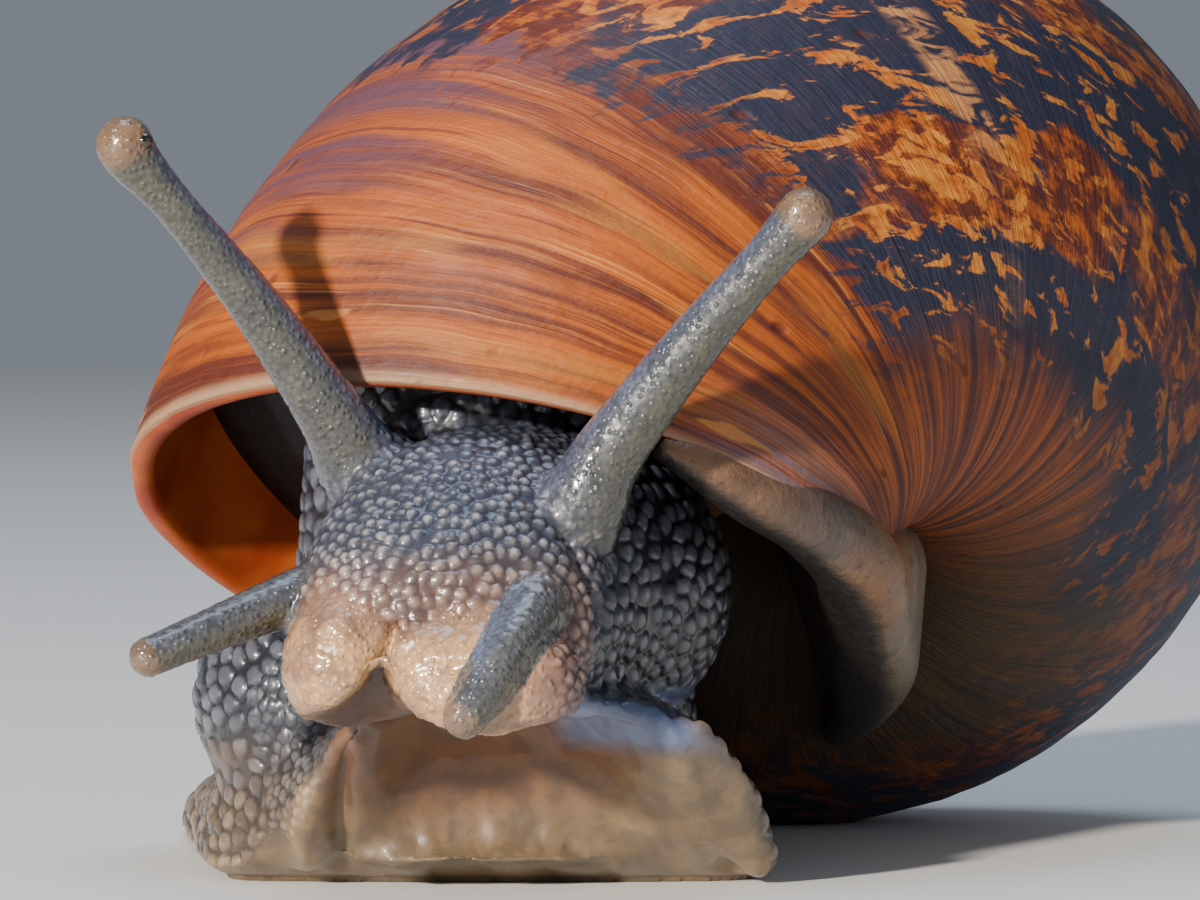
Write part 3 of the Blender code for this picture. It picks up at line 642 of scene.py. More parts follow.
def make_shell(relief):
    """The whole shell: spiral strip, base of the last turn, cavity and rounded lip."""
    phi, contact, joint, parietal = whorl_angles()
    last = len(phi) - 1
    tau = np.arange(-ROWS, 1) * (TAU / STEPS)
    outer, along, across = outer_wall(tau, phi, relief)
    number = np.arange(outer.shape[0] * outer.shape[1]).reshape(outer.shape[:2])
    number[BACK:, 0] = number[: ROWS + 1 - BACK, contact]

    deep = ROWS - CAVITY_ROWS
    inner = shell_points(tau[deep:], inner_angles(phi, contact), WALL, COLUMELLA_INSIDE)
    inside = number.size + np.arange(inner.shape[0] * inner.shape[1]).reshape(inner.shape[:2])
    older = number[deep - BACK : ROWS - BACK + 1]
    inside = np.concatenate([older[:, joint, None], inside, older[:, parietal, None]], 1)
    points = np.concatenate([outer.reshape(-1, 3), inner.reshape(-1, 3)])
    # rounded edge of the lip between the outer and the inner wall
    out_edge, in_edge = number[ROWS, : last + 1], inside[CAVITY_ROWS, : last + 1]
    roots = number[ROWS - BACK, contact + 1 : contact + 1 + RIM_POINTS]
    points, rim = rounded_lip(points, out_edge, in_edge, number[ROWS - 3, : last + 1], roots)
    parts = [
        quads(number[:, : contact + 1]),
        quads(number[ROWS - BACK :, contact:]),
        quads(older[:, joint : parietal + 1].T),
        quads(inside.T),
        quads(rim),
    ]
    faces = [tuple(dict.fromkeys(face)) for face in np.concatenate(parts).tolist()]
    faces = [face for face in faces if len(face) > 2]
    # the free edge of the columella, between its outer and its inner side
    faces.append(tuple(int(v) for v in rim[-1]))
    outer_side = [number[ROWS, last], *number[ROWS - BACK, last : parietal - 1 : -1]]
    bridge(faces, outer_side, inside[CAVITY_ROWS, last:])
    # the umbilicus, closed along the spiral
    seam = number[ROWS - BACK :, last]
    for k in range(BACK // 2):
        faces.append((seam[k], seam[k + 1], seam[BACK - k - 1], seam[BACK - k]))
    ring = [*number[deep - BACK, joint:parietal], *inside[0, ::-1][:-1]]
    points = close_ring(points, faces, ring, 0.0)
    ring = [*number[0, :contact], *number[BACK:0:-1, 0]]
    points = close_ring(points, faces, ring, APEX_RISE)
    used = np.unique(np.concatenate([np.asarray(face) for face in faces]))
    renumber = np.full(len(points), -1)
    renumber[used] = np.arange(len(used))
    faces = [tuple(int(renumber[v]) for v in face) for face in faces]
    shell = mesh_piece("snail_shell", points[used], faces)
    write_growth(shell, points, used, outer.shape[:2], along, across, phi, contact + 1)
    return shell


def bridge(faces, first, second):
    """Triangles between two lines of points that end in the same point."""
    first, second = [int(v) for v in first], [int(v) for v in second]
    a = b = 0
    while a < len(first) - 2 or b < len(second) - 2:
        later = (a + 1) * len(second) < (b + 1) * len(first)
        if b >= len(second) - 2 or (a < len(first) - 2 and later):
            faces.append((first[a], first[a + 1], second[b]))
            a += 1
        else:
            faces.append((first[a], second[b + 1], second[b]))
            b += 1
    faces.append((first[-2], first[-1], second[-2]))


def close_ring(points, faces, ring, raised):
    """Closes a ring with triangles to its middle, raised along the shell's axis."""
    middle = points[list(ring)].mean(0) + SHELL_AXES[:, 2] * raised
    for k, v in enumerate(ring):
        faces.append((int(v), int(ring[(k + 1) % len(ring)]), len(points)))
    return np.concatenate([points, middle[None]])


def write_growth(shell, points, used, shape, along, across, phi, len_bare):
    """For each face's corner: mm behind the lip, mm across the whorl, angle, and inside: 0 outside, 1
    on the hollow's painted glow, 2 on the mouth's painted shade.
    """
    outer_count = shape[0] * shape[1]
    fields = np.zeros((len(points), 3))
    fields[:outer_count, 0] = np.repeat(along, shape[1])
    fields[:outer_count, 1] = across.ravel()
    fields[:outer_count, 2] = np.tile(phi, shape[0])
    fields[-1] = along[0], across[0].mean(), phi.mean()  # the apex
    mesh = shell.data
    corners = np.empty(len(mesh.loops), np.int32)
    mesh.loops.foreach_get("vertex_index", corners)
    source = used[corners]
    values = fields[source]
    starts = np.empty(len(mesh.polygons), np.int32)
    totals = np.empty(len(mesh.polygons), np.int32)
    mesh.polygons.foreach_get("loop_start", starts)
    mesh.polygons.foreach_get("loop_total", totals)
    owner = np.repeat(np.arange(len(starts)), totals)
    # the suture's points belong to the older whorl: give them the younger one's values
    lowest = np.full(len(starts), 1e9)
    np.minimum.at(lowest, owner, values[:, 2])
    highest = np.full(len(starts), -1e9)
    np.maximum.at(highest, owner, values[:, 2])
    newest = np.full(len(starts), -1e9)
    np.maximum.at(newest, owner, np.where(values[:, 2] > PHI_CONTACT + 0.2, values[:, 0], -1e9))
    mixed = (highest - lowest > 0.5)[owner]
    old_corner = mixed & (values[:, 2] < PHI_CONTACT + 0.2) & (source < outer_count)
    along_young = newest[owner][old_corner]
    values[old_corner, 0] = along_young
    values[old_corner, 1] = PHI_SUTURE * ACROSS * (1.0 + along_young * GROWTH / LIP_REACH)
    values[old_corner, 2] = PHI_SUTURE
    made = mesh.attributes.new("growth", "FLOAT_VECTOR", "CORNER")
    made.data.foreach_set("vector", values.astype(np.float32).ravel())
    inner = (source >= outer_count).astype(np.float32)
    # painted shade: the previous turn's wall inside the mouth is marked to be near black
    row, column = source // shape[1], source % shape[1]
    start = ROWS - BACK
    roof = (source < outer_count) & (row <= start) & (row >= start - CAVITY_ROWS)
    roof &= column > len_bare + RIM_POINTS
    whole = np.zeros(len(starts), bool)
    np.logical_or.at(whole, owner, ~roof)
    inner[~whole[owner]] = 2.0
    made = mesh.attributes.new("inside", "FLOAT", "CORNER")
    made.data.foreach_set("value", inner)


# ---------------------------------------------------------------- soft body's form
# A share runs smoothly from 0 to 1 between two places on an axis, in millimetres.
def smooth_rows(table, count):
    """Reads a table of sections at even steps of its first column, smoothly."""
    rows = np.array(table, float)
    at = rows[:, 0]
    slopes = np.gradient(rows, at, axis=0)
    out = []
    for t in np.linspace(at[0], at[-1], count):
        k = min(max(int(np.searchsorted(at, t)) - 1, 0), len(at) - 2)
        h = at[k + 1] - at[k]
        s = (t - at[k]) / h
        out.append(
            (2 * s**3 - 3 * s**2 + 1) * rows[k]
            + (s**3 - 2 * s**2 + s) * h * slopes[k]
            + (-2 * s**3 + 3 * s**2) * rows[k + 1]
            + (s**3 - s**2) * h * slopes[k + 1]
        )
    return out


def loft(name, rings):
    """A closed skin through rings of the same count of points."""
    verts = [v for ring in rings for v in ring]
    n = len(rings[0])
    faces = [tuple(range(n)), tuple(range((len(rings) - 1) * n, len(rings) * n))]
    for i in range(len(rings) - 1):
        for k in range(n):
            a, b = i * n + k, i * n + (k + 1) % n
            faces.append((a, b, b + n, a + n))
    return mesh_piece(name, verts, faces)


def foot_ring(y, x, half, sole, height, count=80):
    """A flat sole with a domed back that thins out to the fringe."""
    fringe = min(FRINGE, 0.4 * height)
    ring = []
    for k in range(count):
        turn = TAU * k / count
        u, v = math.cos(turn), math.sin(turn)
        if v < 0:
            z = sole + fringe * (1.0 - math.sqrt(-v))
        else:
            z = sole + fringe + (height - fringe) * v**1.1
        ring.append((x + half * math.copysign(abs(u) ** 0.85, u), y, z))
    return ring


def oval_ring(centre, half_u, half_v, u, v, count=64):
    turns = np.arange(count) * TAU / count
    centre, u, v = (np.array(each, float) for each in (centre, u, v))
    return list(
        centre
        + u * half_u * np.cos(turns)[:, None]
        + v * half_v * np.sin(turns)[:, None]
    )


def ball(name, centre, axes, around=40):
    work = bmesh.new()
    bmesh.ops.create_uvsphere(work, u_segments=around, v_segments=around // 2, radius=MM)
    mesh = bpy.data.meshes.new(name)
    work.to_mesh(mesh)
    work.free()
    mesh.transform(Matrix.LocRotScale(Vector(centre) * MM, None, Vector(axes)))
    return linked(name, mesh)


def feeler(name, points, resolution=8, steps=8):
    """A tube of changing radius round a smooth line, with a round end."""
    curve = bpy.data.curves.new(name, "CURVE")
    curve.dimensions = "3D"
    curve.bevel_depth = MM
    curve.bevel_resolution = resolution
    curve.use_fill_caps = True
    spline = curve.splines.new("POLY")
    rows = smooth_rows([(k, *p, r) for k, (p, r) in enumerate(points)], steps * len(points))
    spline.points.add(len(rows) - 1)
    for point, (_, x, y, z, r) in zip(spline.points, rows):
        point.co = (x * MM, y * MM, z * MM, 1.0)
        point.radius = r
    tube = freeze(linked(name, curve))
    work = bmesh.new()
    work.from_mesh(tube.data)
    bmesh.ops.remove_doubles(work, verts=work.verts, dist=1e-7)
    work.to_mesh(tube.data)
    work.free()
    tip, radius = points[-1]
    return [tube, ball(name + "_end", tip, (radius,) * 3, 4 + 4 * resolution)]


def joined(name, pieces):
    """One piece from several, which are removed."""
    work = bmesh.new()
    for piece in pieces:
        work.from_mesh(piece.data)
        bpy.data.objects.remove(piece, do_unlink=True)
    mesh = bpy.data.meshes.new(name)
    work.to_mesh(mesh)
    work.free()
    return linked(name, mesh)


def one_skin(piece, voxel, rounds):
    """One closed skin round overlapping shapes, its joins smoothed without shrinking it."""
    remesh = piece.modifiers.new("one skin", "REMESH")
    remesh.mode = "VOXEL"
    remesh.voxel_size = voxel
    for factor in (0.5, -0.5) * rounds:
        smooth = piece.modifiers.new("smooth", "SMOOTH")
        smooth.factor = factor
        smooth.iterations = rounds
    return freeze(piece)


def over_lobes(points):
    """Height of each point over the lobes' lower edge."""
    return points[:, 2] - np.interp(points[:, 0], LOBE_X, LOBE_Z)


def cut_under_lips(piece):
    """Sets the piece back under the lobes' lower edge, so that the mouth lies in the shade."""
    points = points_of(piece)
    share = smooth_step(0.05, -0.22, over_lobes(points))
    points[:, 1] += share * (np.maximum(points[:, 1], MOUTH_BACK) - points[:, 1])
    set_points(piece, points)


def lift_crumbs(points):
    """Lifts what hangs below the lobes' lower edge on the left side of the mouth."""
    x, y, z = points.T
    hanging = (y < MOUTH_BACK) & (z > CRUMB_LOW) & (x > CRUMB_RIGHT)
    points[:, 2] = np.where(hanging, np.maximum(z, np.interp(x, LOBE_X, LOBE_Z)), z)
    return points


def make_body(voxel):
    """The whole soft body as one skin, before its warts."""
    pieces = [loft("foot", [foot_ring(*row) for row in smooth_rows(FOOT, 160)])]
    across, up, along = (1, 0, 0), (0, 0, 1), (0, 1, 0)
    rings = [
        oval_ring((x, y, z), w, h, across, up, 160) for y, x, z, w, h in smooth_rows(HEAD, 120)
    ]
    pieces.append(loft("head", rings))
    cut_under_lips(pieces[-1])
    rings = [
        oval_ring((x, y, z), w, d, across, along) for z, x, y, w, d in smooth_rows(STALK, 24)
    ]
    pieces.append(loft("stalk", rings))
    pieces.append(ball("flank", *FLANK))
    for name, (centre, axes) in LIP_LOBES.items():
        pieces.append(ball(name, centre, axes, 128))
        cut_under_lips(pieces[-1])
    for name, points in FEELERS.items():
        pieces += feeler(name, points)
    skin = one_skin(joined("snail_skin", pieces), voxel, SKIN_ROUNDS)
    finer = skin.modifiers.new("finer", "SUBSURF")
    finer.levels = finer.render_levels = 1
    return freeze(skin)


def feeler_lines():
    """Each feeler's middle line and radii, read finely."""
    lines = {}
    for name, points in FEELERS.items():
        rows = smooth_rows([(k, *p, r) for k, (p, r) in enumerate(points)], 6 * len(points))
        lines[name] = (np.array(rows)[:, 1:4], np.array(rows)[:, 4])
    return lines


def tree_of(places):
    tree = KDTree(len(places))
    for k, place in enumerate(places):
        tree.insert(place, k)
    tree.balance()
    return tree


def scattered(places, rng):
    """Seeds of the cells: some of the places, at random and none too near another."""
    order = rng.random(len(places))
    grid = np.floor(places).astype(np.int64)
    key = grid[:, 0] * 1000003 + grid[:, 1] * 10007 + grid[:, 2] * 101
    rank = np.lexsort((order, key))
    first = np.concatenate([[True], np.diff(key[rank]) != 0])
    seeds = places[rank[first]]
    tree = tree_of(seeds)
    keep = np.ones(len(seeds), bool)
    for k, seed_point in enumerate(seeds):
        if keep[k]:
            for _, other, _ in tree.find_range(seed_point, CELL_APART):
                if other > k:
                    keep[other] = False
    return seeds[keep]


def cells(points, chosen, spacing, furrow, seed):
    """Scattered cells over the chosen points: how domed each point is, and its cell's tone."""
    scaled = points[chosen] / np.asarray(spacing)
    rng = np.random.default_rng(seed)
    seeds = scattered(scaled, rng)
    tones = rng.random(len(seeds))
    tree = tree_of(seeds)
    near = np.empty((len(scaled), 2))
    tone = np.empty(len(scaled))
    for k, point in enumerate(scaled):
        found = tree.find_n(point, 2)
        near[k] = found[0][2], found[1][2]
        tone[k] = tones[found[0][1]]
    share = np.clip((near[:, 1] - near[:, 0]) / (near[:, 1] + near[:, 0]) / furrow, 0.0, 1.0)
    bead = np.sqrt(np.clip(1.0 - (near[:, 0] / BEAD_REACH) ** 2, 0.0, 1.0))
    dome, cell_tone = np.zeros(len(points)), np.zeros(len(points))
    dome[chosen] = bead * smooth_step(0.0, 1.0, share)
    cell_tone[chosen] = tone
    return dome, cell_tone


def carve_mouth(points, normals):
    """Sinks the cleft and the hollow, and raises the lips' wrinkles, all in millimetres."""
    flat = points[:, [0, 2]]
    facing = smooth_step(0.0, -0.35, normals[:, 1]) * smooth_step(-20.6, -21.6, points[:, 1])
    off_cleft, _ = path_distance(flat, CLEFT)
    sunk = sum(depth * np.exp(-((off_cleft / width) ** 2)) for depth, width in CLEFT_CUTS)
    hollow = np.linalg.norm((flat - MOUTH_HOLLOW) / HOLLOW_HALF, axis=1)
    sunk += HOLLOW_DEPTH * np.exp(-(hollow**2))
    fold, _ = path_distance(points, NECK_FOLD)
    sunk += NECK_FOLD_DEPTH * np.exp(-((fold / NECK_FOLD_WIDTH) ** 2))
    away = flat - np.array(MOUTH)
    turn = np.arctan2(away[:, 1], away[:, 0])
    reach = np.hypot(away[:, 0], away[:, 1])
    folds = lattice_noise(np.stack([turn * 7.0, reach * 0.55, 0 * turn], 1), 31)
    fine = lattice_noise(np.stack([turn * 17.0, reach * 1.6, 0 * turn], 1), 32)
    raised = lip_share(points) * smooth_step(0.3, 1.2, reach) * (0.055 * folds + 0.03 * fine)
    return points + normals * (raised - sunk * facing)[:, None]


def lip_share(points):
    """One on the bare cream lips of the mouth, none on the warty skin."""
    share = np.zeros(len(points))
    uneven = 0.16 * lattice_noise(points / 0.45, 45)
    for centre, axes in LIP_LOBES.values():
        out = np.linalg.norm((points - centre) / (np.array(axes) * (1.12, 1.3, 1.05)), axis=1)
        share = np.maximum(share, smooth_step(1.18, 0.74, out + uneven))
    return share * smooth_step(-21.4, -22.6, points[:, 1]) * smooth_step(4.9, 3.9, points[:, 0])


def under_share(points):
    """One in the mouth's shade, under the lobes."""
    x, y, z = points.T
    share = smooth_step(0.02, -0.20, over_lobes(points))
    share *= smooth_step(-20.2, -20.9, y) * smooth_step(3.0, 4.4, z)
    return share * smooth_step(-1.7, -1.3, x) * smooth_step(5.2, 4.2, x)


def apron_share(points, normals):
    """One on the smooth front of the foot under the head, and on the sole."""
    x, y, z = points.T
    front = smooth_step(-0.05, -0.45, normals[:, 1]) * smooth_step(-14.5, -16.5, y)
    front *= smooth_step(-1.6, -1.0, x) * smooth_step(9.6, 8.9, x)
    front = np.maximum(front, smooth_step(-0.25, -0.6, normals[:, 2]))
    return front * smooth_step(5.2, 4.7, z) * smooth_step(-24.4, -22.6, y)


def front_softness(points):
    """One where the foot's front edge and the skin under the lips are rounded off."""
    x, y, z = points.T
    over = over_lobes(points)
    ahead = smooth_step(-17.4, -18.6, y)
    off_sole = smooth_step(0.9, 1.6, z)
    under = ahead * off_sole * smooth_step(-0.10, -0.35, over) * smooth_step(-22.75, -22.45, y)
    beside = ahead * off_sole * smooth_step(5.2, 6.2, x) * smooth_step(6.0, 5.2, z)
    flank = smooth_step(-1.2, -2.2, x) * smooth_step(-20.5, -19.0, y) * smooth_step(-6.0, -8.0, y)
    flank *= smooth_step(0.4, 1.0, z) * smooth_step(4.6, 3.6, z)
    crumb = np.exp(-(((x - 3.8) / 0.45) ** 4)) * smooth_step(-21.8, -22.1, y)
    crumb *= smooth_step(0.40, 0.20, over) * smooth_step(3.0, 3.6, z)
    return np.maximum.reduce([under, beside, flank, crumb])


def fold_apron(points, normals):
    """Hollows the foot's front and raises its pale folds and its slanting wrinkles."""
    x, y, z = points.T
    share = apron_share(points, normals)
    wave = np.stack([(x + 0.55 * z) * 1.2, y * 0.35, z * 0.35], 1)
    raised = share * (0.10 * lattice_noise(wave, 61) + 0.04 * lattice_noise(wave * 2.3, 62))
    hollow = np.exp(-(((x - APRON_MIDDLE) / APRON_HALF) ** 4)) * smooth_step(0.4, 2.4, z)
    raised -= share * APRON_HOLLOW * hollow * smooth_step(5.0, 3.9, z)
    for path, offset in zip(APRON_EDGES, GROOVE_OFFSETS):
        near, _ = path_distance(points, path)
        groove, _ = path_distance(points - (offset, 0.0, 0.0), path)
        raised += EDGE_HEIGHT * np.exp(-((near / EDGE_WIDTH) ** 2))
        raised -= GROOVE_DEPTH * np.exp(-((groove / GROOVE_WIDTH) ** 2))
    raised *= smooth_step(0.0, 0.5, z)
    return points + normals * raised[:, None]


def skin_regions(points, lines):
    """How far up each feeler a point lies, two more on an upper feeler, and -1 where none is near."""
    along = np.full(len(points), -1.0)
    for name, (line, radii) in lines.items():
        near = np.flatnonzero(np.linalg.norm(points - line.mean(0), axis=1) < 9.0)
        best = np.full(len(near), 1e9)
        where = np.zeros(len(near))
        width = np.ones(len(near))
        for k, (centre, radius) in enumerate(zip(line, radii)):
            d = np.linalg.norm(points[near] - centre, axis=1)
            closer = d < best
            best[closer] = d[closer]
            where[closer] = k / (len(line) - 1)
            width[closer] = radius
        on = best < 1.12 * width + 0.05
        along[near[on]] = np.maximum(along[near[on]], where[on] + (2.0 if "upper" in name else 0.0))
    return along


def feeler_share(along):
    """One on a feeler, fading out over its base."""
    where = np.where(along >= 2.0, along - 2.0, along)
    start = np.where(along >= 2.0, 0.10, 0.12)
    share = np.clip((where - start) / 0.16, 0.0, 1.0)
    return np.where(along < 0, 0.0, share * share * (3 - 2 * share))


def make_warts(points, normals, sizes, lines):
    """Raises the warts of each part of the skin. Returns the points, domes and tones."""
    along = skin_regions(points, lines)
    feelers = feeler_share(along)
    head = smooth_step(-16.2, -17.6, points[:, 1]) * (1 - feelers)
    head *= smooth_step(5.9, 5.1, points[:, 0] - 0.12 * (points[:, 2] - 7.0))
    lips = lip_share(points)
    bare = (1 - lips) * (1 - apron_share(points, normals))
    flat = smooth_step(0.05, 0.35, points[:, 2])
    dome, tone = np.zeros(len(points)), np.zeros(len(points))
    raised = np.zeros(len(points))
    spans = (
        (head * bare, (sizes["head"],) * 3, 1.0, 0.30, 41),
        (
            (1 - head) * (1 - feelers) * bare,
            (sizes["body"] * 0.9, sizes["body"] * 1.5, sizes["body"] * 1.1), 1.0, 0.30, 42,
        ),
        (feelers, (sizes["feeler"],) * 3, 0.32, 0.35, 43),
        (lips, (0.17, 0.17, 0.22), 0.45, 0.4, 44),
    )
    for share, spacing, strength, furrow, seed in spans:
        chosen = np.flatnonzero(share > 0.01)
        domes, tones = cells(points, chosen, spacing, furrow, seed)
        dome += share * domes
        tone += share * tones
        size = 0.65 + 0.35 * tones
        raised += share * strength * sizes["height"] * min(spacing) * (domes - 0.5) * size
    raised *= flat
    return points + normals * raised[:, None], dome, tone, along, feelers, lips


def bead_tint(points, dome, tone, slow, colours):
    """Grey beads with pale middles, bluer on top and browner towards mouth and sole."""
    x, y, z = points.T
    grey, blue, dark, sole = (colours[k] for k in ("grey", "blue", "dark", "sole"))
    count = len(points)
    ahead = smooth_step(-17.0, -20.0, y)
    bluer = np.clip(0.5 + 0.5 * slow + 0.5 * smooth_step(8.5, 11.0, z), 0, 1)
    wart = mix(np.tile(grey * 0.62, (count, 1)), blue * 1.5, bluer * 0.78)
    low = smooth_step(4.6, 1.0, z) * 0.8
    muzzle = smooth_step(9.3, 7.2, z + 0.5 * slow) * smooth_step(-21.0, -22.4, y)
    muzzle *= smooth_step(6.0, 4.8, x)
    brown = np.clip(low + 0.75 * muzzle, 0, 1)
    wart = mix(wart, mix(np.tile(sole, (count, 1)), PINK_BROWN, muzzle), brown)
    wart *= (0.55 + 0.65 * tone)[:, None]
    pale = mix(np.tile(grey * 1.35, (count, 1)), colours["cream"] * 0.95, muzzle)
    wart *= (1.0 - 0.52 * ahead * (1 - muzzle))[:, None]
    wart = mix(wart, pale, smooth_step(0.86, 0.99, dome) * (0.15 + 0.55 * ahead) * tone)
    # painted shade: the neck beside the shell is darker, as are its furrows; the skin behind the head
    # and low down is darker too
    neck = smooth_step(5.0, 6.2, x) * smooth_step(4.8, 5.6, z)
    side = np.clip((1 - ahead) + smooth_step(5.2, 4.4, z), 0, 1)
    wart *= (1.0 - 0.45 * neck - 0.42 * side * (1 - neck))[:, None]
    furrow = mix(np.tile(dark, (count, 1)), blue * 0.42, ahead * 0.8)
    furrow = mix(furrow, PINK_BROWN * 0.55, muzzle * 0.9)
    furrow = mix(furrow, dark * 0.5, neck)
    furrow = mix(furrow, sole * 0.20, low)
    return mix(furrow, wart, smooth_step(0.30, 0.85, dome))


def front_tint(points, slow, colours):
    """The foot's smooth front: brown painted shade above and in its hollow middle, cream below, and a
    blue grey painted sky reflection at its left end.
    """
    x, _, z = points.T
    sole, shade = colours["sole"], np.tile(PEACH_DARK * 0.8, (len(points), 1))
    # painted shade: brown under the lips, fading to cream below
    front = mix(shade, sole * 0.45, smooth_step(3.9, 0.9, z + 0.5 * slow))
    # painted shade: darker in the middle of the hollow
    middle = np.exp(-(((x - 2.0) / 2.2) ** 2)) * smooth_step(0.6, 3.0, z)
    front = mix(front, PEACH_DARK * 0.6, 0.65 * middle)
    front = mix(front, sole * 0.55, smooth_step(5.0, 7.5, x) * smooth_step(4.2, 3.4, z))
    # painted sky reflection: a blue grey band along the top at the left end
    front = mix(front, colours["blue"] * 2.6, smooth_step(3.4, 4.1, z) * smooth_step(4.0, 5.2, x))
    return front * (0.92 + 0.40 * slow)[:, None]


def stalk_tint(points, normals, dome, slow, along, colours):
    """The feelers: grey above with a painted blue sky sheen, olive below, with tan ends."""
    upper = along >= 2.0
    where = np.where(upper, along - 2.0, along)
    below = smooth_step(0.25, -0.6, normals[:, 2] * 0.8 - normals[:, 0] * 0.5)
    stalk = mix(np.tile(FEELER_GREY, (len(points), 1)), colours["olive"], below)
    # painted sky sheen: faces turned up and to the side are bluer and brighter
    outward = np.where(points[:, 0] < 2.5, 1, -1)
    rim = smooth_step(0.35, 0.85, normals[:, 2] * 0.7 + normals[:, 0] * 0.7 * outward)
    stalk = mix(stalk, colours["blue"] * 1.5, 0.6 * rim)
    stalk *= (0.55 + 0.5 * dome + 0.15 * slow)[:, None]
    end = np.where(upper, smooth_step(0.84, 0.93, where), 0.7 * smooth_step(0.82, 0.95, where))
    return mix(stalk, colours["tan"] * (0.9 + 0.2 * slow)[:, None], end * (along >= 0))


def tint_skin(points, normals, dome, tone, along, feelers, lips, colours):
    """The colour of each point of the skin, from where it lies and how high its wart is."""
    x, _, z = points.T
    colours = {name: np.array(value) for name, value in colours.items()}
    sole = colours["sole"]
    slow = lattice_noise(points / 2.3, 51) * 0.5 + lattice_noise(points / 0.9, 52) * 0.5
    tint = bead_tint(points, dome, tone, slow, colours)
    apron = apron_share(points, normals)
    tint = mix(tint, front_tint(points, slow, colours), apron)
    near = np.minimum.reduce([path_distance(points, path)[0] for path in APRON_EDGES])
    edge = np.exp(-((near / 0.45) ** 2))
    tint = mix(tint, sole * (0.70 + 0.40 * dome)[:, None], 0.8 * edge)
    tint = mix(tint, sole * 0.9, 0.6 * smooth_step(0.7, 0.2, z) * (1 - apron))
    # the lips, redder, and darker as painted shade, where they turn away
    lip_tone = 0.80 + 0.30 * slow + 0.25 * (dome - 0.5)
    peach = mix(colours["cream"] * lip_tone[:, None], PINK_BROWN * 1.3, 0.75 * smooth_step(2.9, 4.4, x))
    peach = mix(peach, PINK_BROWN * 1.5, 0.6 * smooth_step(6.2, 7.4, z))
    tint = mix(tint, peach, lips)
    tint = mix(tint, PEACH_DARK * 0.42, 0.95 * under_share(points) * (1 - feelers))
    stalk = stalk_tint(points, normals, dome, slow, along, colours)
    return np.clip(mix(tint, stalk, feelers), 0.0, 1.0)


def wetness(points, normals, feelers, lips):
    """Lips and feelers are wettest, the foot's front and the mouth's shade are dull."""
    wet = np.clip(0.4 * feelers + 0.8 * lips + 0.3, 0, 1) * (1 - 0.9 * under_share(points))
    return wet * (1 - 0.9 * apron_share(points, normals) * smooth_step(3.8, 3.2, points[:, 2]))


def cavity_ring(tau, gap, count):
    """The outline of the whorl's hollow at one row, drawn in by gap."""
    phis = np.linspace(PHI_SUTURE - math.radians(14), math.radians(-205), 4 * count)
    ring = shell_points([tau], phis, WALL + gap, COLUMELLA_INSIDE + gap)[0]
    out = 1.0 + gap * WHORL_GROWTH / SECTION_SHORT
    phis = np.radians(np.linspace(-128, -64, count))
    r, z = section(phis)
    r = SECTION_OUT + (r - SECTION_OUT) * out
    z = -SECTION_DROP + (z + SECTION_DROP) * out
    turn = tau - TAU + LEAD + lip_lead(phis)
    return np.concatenate([ring, placed(spiral_point(turn, r, z))])


def make_mantle():
    """A cushion that fills the whorl behind the lip."""
    turns = np.linspace(MANTLE_BACK, MANTLE_FRONT, MANTLE_RINGS)
    rings = [cavity_ring(tau, MANTLE_GAP, 24) for tau in turns]
    edge, middle = rings[-1], rings[-1].mean(0)
    ahead = middle - rings[-2].mean(0)
    ahead /= np.linalg.norm(ahead)
    for k in range(1, MANTLE_RINGS + 1):
        t = k / (MANTLE_RINGS + 1)
        bulge = ahead * MANTLE_BULGE * math.sin(t * math.pi / 2)
        rings.append(middle + (edge - middle) * (1 - t) + bulge)
    return loft("mantle_edge", [list(ring) for ring in rings])


def tint_fold(points, normals):
    """Orange and beige on the fold's outer side, the orange band partly a painted highlight, greenish
    grey below, and painted shade on the side that faces into the mouth.
    """
    _, along = path_distance(points, [centre for centre, _ in COLUMELLAR_LIP])
    at = [each for each, _ in FOLD_TINTS]
    tint = np.stack([np.interp(along, at, [c[k] for _, c in FOLD_TINTS]) for k in range(3)], 1)
    cloud = lattice_noise(points / 0.8, 71) + 0.5 * lattice_noise(points / 0.3, 72)
    tint *= (1.0 + 0.30 * cloud)[:, None]
    facing = normals[:, 0] + 0.35 * normals[:, 2] - 0.25 * normals[:, 1] + 0.10 * cloud
    return np.clip(mix(tint, FOLD_INNER_SHADE, smooth_step(0.28, -0.22, facing)), 0.0, 1.0)


def make_fold(voxel):
    """The folded lip of the columella, with the columella behind it."""
    axis = [(placed(np.array((0.0, 0.0, -depth))), radius) for depth, radius in PILLAR]
    behind = feeler("pillar", axis, 4, 4)
    behind += feeler("fold_back", COLUMELLAR_LIP[FOLD_FREE:-1], 4, 4)
    hull = joined("columella", behind)
    work = bmesh.new()
    work.from_mesh(hull.data)
    found = bmesh.ops.convex_hull(work, input=work.verts)
    inside = set(found["geom_interior"] + found["geom_unused"])
    bmesh.ops.delete(work, geom=[v for v in inside if isinstance(v, bmesh.types.BMVert)])
    spare = [f for f in work.faces if f not in found["geom"]]
    bmesh.ops.delete(work, geom=spare, context="FACES_ONLY")
    work.to_mesh(hull.data)
    work.free()
    fold = joined("columella_fold", [*feeler("fold", COLUMELLAR_LIP, 8, 8), hull])
    return one_skin(fold, voxel, FOLD_ROUNDS)


